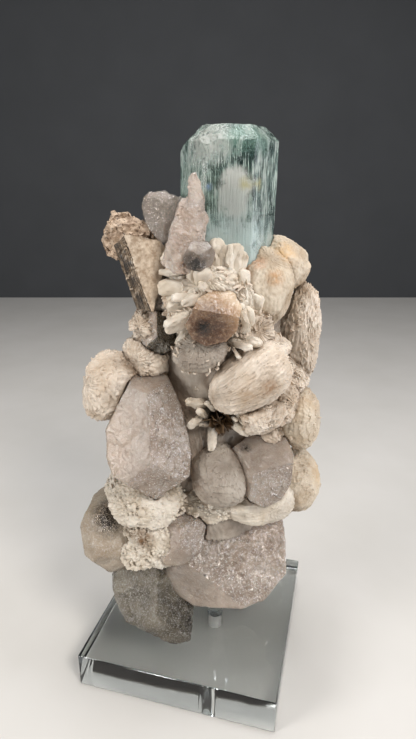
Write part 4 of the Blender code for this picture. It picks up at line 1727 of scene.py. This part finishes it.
    def add_tablet(self, bm: BMesh, place: Matrix, size: np.ndarray, fineness: int) -> None:
        """Adds a thick flat blade with rounded corners.

        Args:
            bm: What it is added to.
            place: Its root, with +Z along it.
            size: Its length, width and thickness.
            fineness: How many times its mesh is subdivided.
        """
        length, width, thick = size
        made = bmesh.ops.create_icosphere(bm, subdivisions=fineness, radius=1)["verts"]
        for vert in made:
            boxy = sum(abs(c) ** self.squareness for c in vert.co) ** (-1 / self.squareness)
            vert.co *= boxy
            narrow = 1 - self.taper * (vert.co.z + 1) / 2
            x, y, z = vert.co
            vert.co = (x * narrow * width / 2, y * narrow * thick / 2, z * length / 2)
            vert.co.z += length / 2
        bmesh.ops.transform(bm, matrix=place, verts=made)

    def add_blade(
        self, bm: BMesh, place: Matrix, size: np.ndarray, rng: np.random.Generator
    ) -> None:
        """Adds a flat bar with a slanted, narrowed end.

        Args:
            bm: What it is added to.
            place: Its root, with +Z along it.
            size: Its length, width and thickness.
            rng: Where its unevenness comes from.
        """
        length, width, thick = size
        made = bmesh.ops.create_cube(bm, size=1)["verts"]
        bmesh.ops.translate(bm, vec=(0, 0, 0.5), verts=made)
        bmesh.ops.scale(bm, vec=(width, thick, length), verts=made)
        slant, pinch = rng.uniform(-0.5, 0.5), rng.uniform(0.6, 0.85)
        for vert in made:
            if vert.co.z > 0:
                vert.co.z -= slant * vert.co.x
                vert.co.x *= pinch
                vert.co.y *= pinch
        bmesh.ops.transform(bm, matrix=place, verts=made)

    def splinters_mesh(self, seen: bool, seed: int) -> Mesh:
        """Scatters thin blades over rosettes, each pointing away from its rosette's root.

        Args:
            seen: Whether it is for the rosettes that face the front, or for the others.
            seed: Where the randomness starts.

        Returns:
            One mesh of all of them.
        """
        rng = np.random.default_rng(seed)
        bm = bmesh.new()
        for name, rosette in ROSETTES.items():
            if rosette.seen is not seen:
                continue
            opens = direction(*rosette.opens)
            centre = Vector(rosette.centre)
            root = centre - Vector([o * r for o, r in zip(opens, rosette.radii)])
            for _ in range(rosette.splinters):
                way = Vector(rng.normal(size=3)).normalized()
                spot = centre + Vector([w * r for w, r in zip(way, rosette.radii)])
                size = rng.uniform((1.8, 1.0, 0.45), (4.2, 2.6, 0.9)) * rosette.coarse
                if self.buried(spot, name):
                    continue
                grows = (spot - root).normalized().lerp(way, 0.3).normalized()
                back = size[0] * rng.uniform(0.7, 0.9)
                place = Matrix.Translation(spot - grows * back) @ standing_along(grows).to_4x4()
                place @= Matrix.Rotation(rng.uniform(0, math.pi), 4, "Z")
                self.add_blade(bm, place, size, rng)
        mesh = mesh_from(bm, "splinters")
        add_attribute(mesh, "hollow", np.zeros(len(mesh.vertices)))
        return mesh

    def grains_mesh(self, names: tuple[str, ...], each: int, seed: int) -> Mesh:
        """Scatters sugary grains over rosettes.

        Args:
            names: The rosettes.
            each: How many each rosette gets.
            seed: Where the randomness starts.

        Returns:
            One mesh of all of them.
        """
        rng = np.random.default_rng(seed)
        bm = bmesh.new()
        for name in names:
            rosette = ROSETTES[name]
            centre = Vector(rosette.centre)
            for _ in range(each):
                way = Vector(rng.normal(size=3)).normalized()
                out = [w * r * rng.uniform(0.94, 1.02) for w, r in zip(way, rosette.radii)]
                spot = centre + Vector(out)
                if way.y > 0.3 or self.buried(spot, name):
                    continue
                size = rng.uniform(0.4, 1.1) if rng.uniform() > 0.06 else rng.uniform(1.2, 2.0)
                lean = standing_along(Vector(rng.normal(size=3)).normalized()).to_4x4()
                wide, high = rng.uniform(0.6, 1), rng.uniform(0.8, 1.4)
                stretch = Matrix.Diagonal((size, size * wide, size * high, 1))
                place = Matrix.Translation(spot) @ lean @ stretch
                bmesh.ops.create_icosphere(bm, subdivisions=1, radius=0.8, matrix=place)
        mesh = mesh_from(bm, "grains")
        add_attribute(mesh, "hollow", np.zeros(len(mesh.vertices)))
        return mesh

    def buried(self, spot: Vector, own: str) -> bool:
        """Tells whether a spot lies inside a crystal or another rosette.

        Args:
            spot: The spot.
            own: The name of the rosette that it is on.

        Returns:
            Whether it is buried.
        """
        here = np.array([spot])
        if any(socket.distance(here)[0] < self.clearance for socket in self.sockets):
            return True
        others = (rosette for name, rosette in {**CORES, **ROSETTES}.items() if name != own)
        return any(rosette.level(here)[0] < self.showing for rosette in others)

    def build(self) -> list[Object]:
        """Builds every piece of the albite.

        Returns:
            The pieces.
        """
        pieces = []
        for name, rosette in {**CORES, **ROSETTES}.items():
            replaced = ("albite_matrix",) if name == "core_low" else ()
            mesh = self.rosette_mesh(name, rosette)
            finish = self.finishes[rosette.tone]
            pieces.append(add_piece("albite_" + name, mesh, [finish], replaced, sharp=50.0))
        snow, plain = self.finishes[Tone.SNOW], self.finishes[Tone.PLAIN]
        pieces.append(add_piece("albite_blades", self.blades_mesh(), [snow], sharp=40.0))
        snowy = tuple(n for n, r in ROSETTES.items() if r.tone is Tone.SNOW and r.habit is Habit.SUGAR)
        scattered = (
            ("albite_splinters_front", self.splinters_mesh(True, 11), plain),
            ("albite_splinters_back", self.splinters_mesh(False, 12), plain),
            ("albite_grains", self.grains_mesh(snowy, 500, 13), snow),
        )
        for name, mesh, finish in scattered:
            pieces.append(add_piece(name, mesh, [finish], sharp=None))
        return pieces


# ---------- Mica, feldspar and the stand ----------


@dataclass
class MicaBook:
    """A tapered book of mica: thin sheets, a pearly tan face and a dark ribbed edge."""

    face: Material
    dark_edge: Material
    pale_edge: Material
    form: Crystal = MICA
    sheet: float = 0.42  # usual thickness of a sheet
    air: float = 0.05  # between two sheets
    setback: float = 0.18  # how far a sheet's edges may lie behind the others'
    dark_share: float = 0.88  # of the sheets

    def mesh(self) -> Mesh:
        """Slices the book into sheets of uneven size.

        Returns:
            The mesh, with the sheets' faces in the first material and their edges in the others.
        """
        faces = self.form.faces()
        flat = faces[len(self.form.sides)][0]
        rng = np.random.default_rng(3)
        whole = bmesh.new()
        level, high = -self.form.rest[0][2], self.form.front[0][2]
        while high - level > self.air:
            thick = min(self.sheet * rng.uniform(0.6, 1.5), high - level)
            trim = -rng.uniform(0.0, self.setback)
            layer = [(n, d + trim) for n, d in faces if abs(n.dot(flat)) < 0.98]
            layer += [(flat, level + thick - self.air), (-flat, -level)]
            if thick > 2 * self.air:
                bm = crystal_body(self.form.centre, layer)
                edge = 1 if rng.uniform() < self.dark_share else 2
                for polygon in bm.faces:
                    polygon.material_index = 0 if abs(polygon.normal.dot(flat)) > 0.95 else edge
                refine(bm, 1.2)
                part = mesh_from(bm, "sheet")
                whole.from_mesh(part)
                bpy.data.meshes.remove(part)
            level += thick
        mesh = mesh_from(whole, "mica_book")
        points, pointing = coordinates(mesh), normals(mesh)
        ragged = np.abs(pointing @ np.array(flat)) < 0.8
        relief = np.where(ragged, 0.35 * lattice_noise(points, 1.8, seed=5) - 0.2, 0.0)
        relief += 0.15 * (lattice_noise(points, 3.0, seed=6) - 0.4)
        set_coordinates(mesh, points + pointing * relief[:, None])
        return mesh

    def build(self) -> Object:
        """Builds the piece."""
        finishes = [self.face, self.dark_edge, self.pale_edge]
        return add_piece("mica_book", self.mesh(), finishes, ("mica_book",), sharp=None)


@dataclass
class MicaRosette:
    """The dark mica in the hollow: thin plates that spread from one root."""

    finish: Material
    root: tuple = (7.5, -13.5, 113.5)
    opens: tuple = (-75, -25)  # azimuth and elevation
    spread: tuple = (28, 32)  # how far the plates stray from those, in degrees
    plates: int = 34
    reach: float = 8.5
    narrow: float = 0.55  # a plate's width as a share of its length

    def mesh(self) -> Mesh:
        """Spreads the plates.

        Returns:
            One mesh of all of them.
        """
        rng = np.random.default_rng(17)
        bm = bmesh.new()
        for _ in range(self.plates):
            way = direction(*(angle + rng.normal(0, by) for angle, by in zip(self.opens, self.spread)))
            size = self.reach * rng.uniform(0.6, 1.0)
            place = Matrix.Translation(self.root) @ standing_along(way).to_4x4()
            place @= Matrix.Rotation(rng.uniform(0, math.pi), 4, "Z")
            place @= Matrix.Translation((0, 0, size / 2))
            place @= Matrix.Rotation(math.pi / 2, 4, "X") @ Matrix.Diagonal((self.narrow, 1, 1, 1))
            bmesh.ops.create_cone(
                bm,
                cap_ends=True,
                segments=6,
                radius1=size / 2,
                radius2=size / 2 - 0.1,
                depth=rng.uniform(0.2, 0.45),
                matrix=place,
            )
        return mesh_from(bm, "mica_rosette")

    def build(self) -> Object:
        """Builds the piece."""
        return add_piece("mica_rosette", self.mesh(), [self.finish], sharp=None)


@dataclass
class AcrylicStand:
    """The square block with its blind hole, the rod, and the dab of glue under the rod."""

    side: float = 80.0
    height: float = 15.0
    edge: float = 0.5
    rod_radius: float = 3.0
    rod_axis: tuple = (6.5, -5.0)
    rod_foot: float = 4.0
    rod_top: float = 46.0
    rod_edge: float = 0.25
    gap: float = 0.3  # between the rod and its hole
    glue_fill: float = 0.9  # how much of the gap the glue fills
    glue_lip: float = 0.15  # how thick the cup's wall is at its lip, as a share of the gap
    climb: float = 2.6  # how far the glue has climbed round the rod
    sides: int = 72

    def round_bar(self, radius: float, low: float, high: float) -> BMesh:
        """Makes an upright bar on the rod's axis.

        Args:
            radius: Its radius.
            low: The height of its lower end.
            high: The height of its upper end.

        Returns:
            The bar.
        """
        bm = bmesh.new()
        middle = Matrix.Translation((*self.rod_axis, (low + high) / 2))
        bmesh.ops.create_cone(
            bm,
            cap_ends=True,
            segments=self.sides,
            radius1=radius,
            radius2=radius,
            depth=high - low,
            matrix=middle,
        )
        return bm

    def block_mesh(self) -> Mesh:
        """Makes the block with rounded edges and drills it.

        Returns:
            The mesh.
        """
        bm = bmesh.new()
        bmesh.ops.create_cube(bm, size=1)
        bmesh.ops.translate(bm, vec=(0, 0, 0.5), verts=bm.verts)
        bmesh.ops.scale(bm, vec=(self.side, self.side, self.height), verts=bm.verts)
        round_edges(bm, self.edge, 3)
        block = bpy.data.objects.new("block_blank", mesh_from(bm, "block_blank"))
        drill_bm = self.round_bar(self.rod_radius + self.gap, self.rod_foot - self.gap, self.height + 10)
        drill = bpy.data.objects.new("drill", mesh_from(drill_bm, "drill"))
        drill.data.transform(SPECIMEN_TURN)
        for obj in (block, drill):
            bpy.context.scene.collection.objects.link(obj)
        hole = block.modifiers.new("hole", "BOOLEAN")
        hole.operation = "DIFFERENCE"
        hole.solver = "EXACT"
        hole.object = drill
        bpy.context.view_layer.update()
        drilled = block.evaluated_get(bpy.context.evaluated_depsgraph_get())
        made = bpy.data.meshes.new_from_object(drilled)
        for obj in (block, drill):
            bpy.data.objects.remove(obj)
        return made

    def dab_mesh(self) -> Mesh:
        """Makes the glue under the rod: a cup with a thin lip.

        Returns:
            The mesh.
        """
        fill = self.glue_fill * self.gap
        bm = self.round_bar(self.rod_radius + fill, self.rod_foot - fill, self.rod_foot + self.climb)
        lid = max(bm.faces, key=lambda face: face.calc_center_median().z)
        bmesh.ops.inset_region(bm, faces=[lid], thickness=fill - self.glue_lip * self.gap)
        bmesh.ops.translate(bm, vec=(0, 0, -self.climb - 0.05), verts=lid.verts)
        return mesh_from(bm, "glue_dab")

    def build(self, acrylic: Material, glue: Material) -> list[Object]:
        """Builds the stand's pieces.

        Args:
            acrylic: What the block and the rod are made of.
            glue: What the dab is made of.

        Returns:
            The pieces.
        """
        block, clear, slot = self.block_mesh(), [acrylic], "acrylic"
        rod = self.round_bar(self.rod_radius, self.rod_foot, self.rod_top)
        rims = [e for e in rod.edges if len(e.link_faces) == 2 and e.calc_face_angle(0) > 1]
        round_edges(rod, self.rod_edge, 2, rims, clamped=False)
        return [
            add_piece("acrylic_block", block, clear, ("acrylic_block",), STAND_PLACE, sharp=25.0),
            add_piece("acrylic_rod", mesh_from(rod, "rod"), clear, ("acrylic_rod",)),
            add_piece("glue_dab", self.dab_mesh(), [glue]),
        ]


# ---------- The studio ----------


@dataclass
class Studio:
    """A plain pale floor, a plain card behind, soft lights and the camera."""

    floor_side: float = 2.4  # metres
    floor_gap: float = 0.0002  # metres below the stand, so that the two faces stay apart
    card: tuple = (2.4, 1.6)  # width and height of the card, in metres
    card_away: float = 0.75  # metres behind the stand
    aim: tuple = (0, 0, 0.12)  # where the lights point, in metres
    lens: float = 25.69
    camera_at: tuple = (3.4, -189.7, 193.7)
    pitch: float = 19.43  # degrees that the camera looks down

    def sheet(self, name: str, size: tuple, place: Matrix, tones: tuple[str, str]) -> None:
        """Sets up a plain sheet that isn't part of the specimen.

        Args:
            name: Its name.
            size: Its width and length, in metres.
            place: What carries it from the ground at the origin to where it stands.
            tones: Two sRGB hex colours that are hardly apart.
        """
        bm = bmesh.new()
        bmesh.ops.create_grid(bm, x_segments=1, y_segments=1, size=0.5)
        bmesh.ops.scale(bm, vec=(*size, 1), verts=bm.verts)
        bmesh.ops.transform(bm, matrix=place, verts=bm.verts)
        mesh = mesh_from(bm, name)
        material, tree, shader = new_finish(name + "_matt_card")
        low, high = map(linear, tones)
        tone = patchy(tree, Pattern(60), (0.3, low), (0.7, high))
        tree.links.new(tone, shader.inputs["Base Color"])
        shader.inputs["Roughness"].default_value = 0.8
        mesh.materials.append(material)
        sheet = bpy.data.objects.new(name, mesh)
        bpy.context.scene.collection.objects.link(sheet)

    def light(self, name: str, at: tuple, power: float, size: float, colour: str) -> None:
        """Hangs a square soft light that faces the specimen.

        Args:
            name: The light's name.
            at: Where it hangs, in metres, in the specimen's axes.
            power: Watts.
            size: Its side, in metres.
            colour: Its sRGB hex colour.
        """
        lamp = bpy.data.lights.new(name, "AREA")
        lamp.energy = power
        lamp.size = size
        lamp.color = linear(colour)[:3]
        obj = bpy.data.objects.new(name, lamp)
        bpy.context.scene.collection.objects.link(obj)
        spot = SPECIMEN_TURN @ Vector(at)
        facing = (spot - Vector(self.aim)).to_track_quat("Z", "Y")
        obj.matrix_world = Matrix.LocRotScale(spot, facing, None)

    def camera(self) -> None:
        """Sets up the camera."""
        data = bpy.data.cameras.new("camera")
        data.sensor_width = 36
        data.lens = self.lens
        data.clip_start = 0.005
        camera = bpy.data.objects.new("camera", data)
        bpy.context.scene.collection.objects.link(camera)
        spot = SPECIMEN_TURN @ (Vector(self.camera_at) * MM)
        tilt = Matrix.Rotation(math.radians(90 - self.pitch), 4, "X")
        camera.matrix_world = Matrix.Translation(spot) @ SPECIMEN_TURN @ tilt
        bpy.context.scene.camera = camera

    def build(self) -> None:
        """Sets the floor, the card, the lights, the surroundings and the camera."""
        below = SPECIMEN_TURN @ Matrix.Translation((0, 0, -self.floor_gap))
        self.sheet("floor", (self.floor_side,) * 2, below, ("D2CFCA", "D8D5D1"))
        upright = Matrix.Rotation(math.pi / 2, 4, "X")
        behind = Matrix.Translation((0, self.card_away, self.card[1] / 2 - 0.001))
        self.sheet("backdrop", self.card, SPECIMEN_TURN @ behind @ upright, ("3C3E41", "404245"))
        self.light("key", (0.29, -0.45, 0.63), 3.3, 0.2, "FFF9F2")
        self.light("left", (-0.55, -0.32, 0.27), 2.6, 0.22, "FFFDFA")
        self.light("right", (0.60, -0.18, 0.20), 1.8, 0.25, "F6F9FF")
        self.light("top", (0.03, 0.03, 0.72), 2.6, 0.25, "FFFFFF")
        world = bpy.data.worlds.new("surroundings")
        bpy.context.scene.world = world
        world.use_nodes = True
        background = world.node_tree.nodes["Background"]
        background.inputs["Color"].default_value = linear("B8BCC0")
        background.inputs["Strength"].default_value = 0.2
        bpy.context.scene.view_settings.view_transform = "Standard"
        self.camera()


FINE = Surface(edge=0.35, mesh=0.55, swell=0.25, swell_size=3.5, steps=0.2, step_size=5, frost_pits=0.3)
LUMPY = Surface(
    edge=0.7, mesh=0.55, swell=0.6, swell_size=2.8, steps=0.25, step_size=4, pits=0.3, frost_pits=0.45
)
SCULPTED = Surface(
    edge=0.35, mesh=0.55, swell=0.3, swell_size=3.5, steps=0.4, step_size=4, pits=0.2, frost_pits=0.4
)
PITTED = Surface(edge=1.0, swell=0.9, swell_size=4.5, steps=0.35, pits=0.25, frost_pits=0.7)
ROUGH = Surface(
    edge=0.4,
    mesh=0.5,
    swell=0.5,
    swell_size=6,
    steps=0.9,
    step_size=5,
    pits=0.5,
    frost_pits=0.9,
    pit_size=1.8,
    inset=1.1,
)
# The finishes of the smooth and the frosted faces, the slot, the surface, and which faces are frosted
LOOKS = {
    "quartz_left": ("milky", "frosted", "quartz", Surface(), ((11, 12),)),
    "quartz_right": ("milky", "frosted", "quartz", Surface(), ((10,),)),
    "quartz_lower_left": ("speckled", "frosted", "quartz", Surface(edge=1.2), ((),)),
    "quartz_base": ("milky", "frosted", "quartz", Surface(edge=0.9), ((10, 12), (9, 11))),
    "quartz_foot": ("dusky", "pitted", "smoky_quartz", PITTED, ((4, 6, 7, 10),)),
    "quartz_spire": ("rosy", "rosy", "quartz", LUMPY, ((7, 8, 9, 10, 11), (7, 8, 9))),
    "smoky_quartz_small": ("smoky", "smoky", "smoky_quartz", FINE, ((),)),
    "smoky_quartz_tall": ("clear", "clear", "smoky_quartz", SCULPTED, ((8,),)),
    "stained_quartz": ("honey", "honey", "stained_quartz", FINE, ((),)),
    "grey_quartz": ("rosy", "dusky", "smoky_quartz", LUMPY, ((8, 9),)),
}


def quartz_finishes() -> dict[str, Material]:
    """Makes the quartz's finishes.

    Returns:
        The finishes, by their names without "quartz_".
    """
    soot = ColourPatch((-34.5, -16.4, 72.1), 9.0, "17110D", 1.2, 0.7)
    edge_soot = ColourPatch((-30.3, -12.7, 75.0), 6.5, "17110D", 1.0, 1.2)
    tip_soot = ColourPatch((-14.7, -28.7, 88.6), 2.4, "3A2A1E", 0.9, 1.0)
    foot_soot = ColourPatch((-3.8, -24.8, 29.5), 6.0, "2A221A", 0.8, 1.0)
    corner_soot = ColourPatch((17.0, -17.8, 102.8), 2.8, "2A221A", 0.95, 0.8)
    dot = ColourPatch((2.3, -26.5, 53.2), 1.0, "1A1410", 1.0, 5.0)
    heart = ColourPatch((-0.7, -26.4, 170.5), 4.6, "1A140F", 1.3, 1.2)
    core = ColourPatch((1.8, -29.8, 151.2), 3.2, "120D0A", 1.0, 0.8)
    rust = ColourPatch((3.0, -29.8, 150.0), 12.0, "7D5B45", 1.3, 1.4)
    flecks = ColourPatch((3.5, -29.8, 151.0), 9.0, "2B1E16", 0.7, 0.5)
    finishes = (
        QuartzFinish("quartz_milky", stains=(tip_soot, corner_soot)),
        QuartzFinish(
            "quartz_frosted",
            "DDCFC1",
            "C0AF9F",
            transmission=0.55,
            frost=(0.02, 0.1),
            pit_depth=0.12,
            pit_size=0.7,
            stains=(corner_soot, dot),
            painted_glint_strength=0.9,
        ),
        QuartzFinish("quartz_speckled", "DACCB9", "BFAE98", stains=(soot, edge_soot)),
        QuartzFinish(
            "quartz_dusky",
            "A89E8C",
            "7B7263",
            transmission=0.6,
            frost=(0.03, 0.2),
            absorbs="B4A88E",
            density=20.0,
            pit_depth=0.4,
            painted_glint_strength=0.45,
        ),
        QuartzFinish(
            "quartz_pitted",
            "A89F8C",
            "71695A",
            transmission=0.55,
            frost=(0.06, 0.25),
            absorbs="B8A48F",
            density=20.0,
            pit_depth=0.9,
            stains=(foot_soot,),
            painted_glint_strength=0.6,
        ),
        QuartzFinish(
            "quartz_clear",
            "F8ECE2",
            "D8C8BA",
            transmission=0.8,
            frost=(0.0, 0.06),
            glow=0.2,
            pit_depth=0.7,
            veils=0.7,
            painted_glint_strength=0.8,
        ),
        QuartzFinish(
            "quartz_rosy",
            "F8E8DC",
            "DDC8B8",
            transmission=0.5,
            frost=(0.04, 0.2),
            pit_depth=0.6,
            painted_glint_strength=0.4,
        ),
        QuartzFinish(
            "quartz_smoky",
            "E2D3C4",
            "A08F80",
            transmission=0.7,
            frost=(0.0, 0.1),
            absorbs="8C7663",
            density=25.0,
            glow=0.3,
            stains=(heart,),
        ),
        QuartzFinish(
            "quartz_honey",
            "DEC6AA",
            "BE9C7A",
            transmission=0.3,
            frost=(0.05, 0.25),
            stains=(rust, flecks, core),
            veils=0.1,
        ),
    )
    return {finish.name.removeprefix("quartz_"): finish.build() for finish in finishes}


def build_quartz() -> None:
    """Builds the quartz crystals."""
    finishes = quartz_finishes()
    for name, (smooth, frosty, slot, surface, frosted) in LOOKS.items():
        both = [finishes[smooth], finishes[frosty]]
        EtchedCrystal(name, QUARTZ[name], both, slot, surface, frosted).build()


def build_mica_and_feldspar() -> None:
    """Builds the mica and the feldspar."""
    dark = OpaqueFinish("mica_edge_dark", "2E251D", "15100C", patch=2, roughness=0.4, bump=0.08).build()
    MicaBook(
        OpaqueFinish("mica_sheet", "D8C8B4", "A8937D", patch=1.8, roughness=0.36, bump=0.35).build(),
        dark,
        OpaqueFinish("mica_edge_pale", "7E6C5A", "4A3E33", patch=2, roughness=0.4, bump=0.08).build(),
    ).build()
    MicaRosette(
        OpaqueFinish("mica_dark", "6E573F", "3A2C1E", patch=2, roughness=0.35, bump=0.05).build()
    ).build()
    feldspar = OpaqueFinish("feldspar_rough", "CDB8A2", "8E7763", patch=2.5, specks=0.6, bump=0.4).build()
    EtchedCrystal("feldspar_crystal", (FELDSPAR,), [feldspar] * 2, "feldspar", ROUGH, ((8, 9, 10),)).build()


def build_albite() -> None:
    """Builds the albite round the crystals."""
    sockets = [Socket.of(BERYL.centre, BERYL.faces())]
    for crystals in (*QUARTZ.values(), (MICA,), (FELDSPAR,)):
        sockets += [Socket.of(c.centre, c.faces()) for c in crystals]
    finishes = {
        Tone.PLAIN: AlbiteFinish("albite_platy"),
        Tone.CREAM: AlbiteFinish("albite_cream", "D6CAB8", "BBA890", "80684C", crease_strength=1.4),
        # The grey finish is the albite's greyer tone, darkened further as painted shade
        Tone.GREY_PAINTED_SHADE: AlbiteFinish("albite_grey", "B2A89C", "8D8175", "6B5C4E", crease_strength=1.6),
        Tone.SNOW: AlbiteFinish("albite_sugary", "E2DACE", "CABDAB", "85725C", crease_strength=1.2),
    }
    AlbiteMass({tone: finish.build() for tone, finish in finishes.items()}, sockets).build()


def main() -> None:
    """Builds the specimen, its stand and the studio."""
    logging.basicConfig(level=logging.INFO, format="%(message)s")
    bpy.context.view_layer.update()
    Studio().build()
    AcrylicStand().build(
        AcrylicFinish().build(),
        OpaqueFinish("glue_dried", "E9ECEA", "DADEDC", specks=0.95, roughness=0.5, bump=0.05).build(),
    )
    BerylPrism(BerylFinish().build(), VeilFinish().build()).build()
    build_quartz()
    build_mica_and_feldspar()
    build_albite()


if __name__ == "__main__":
    main()
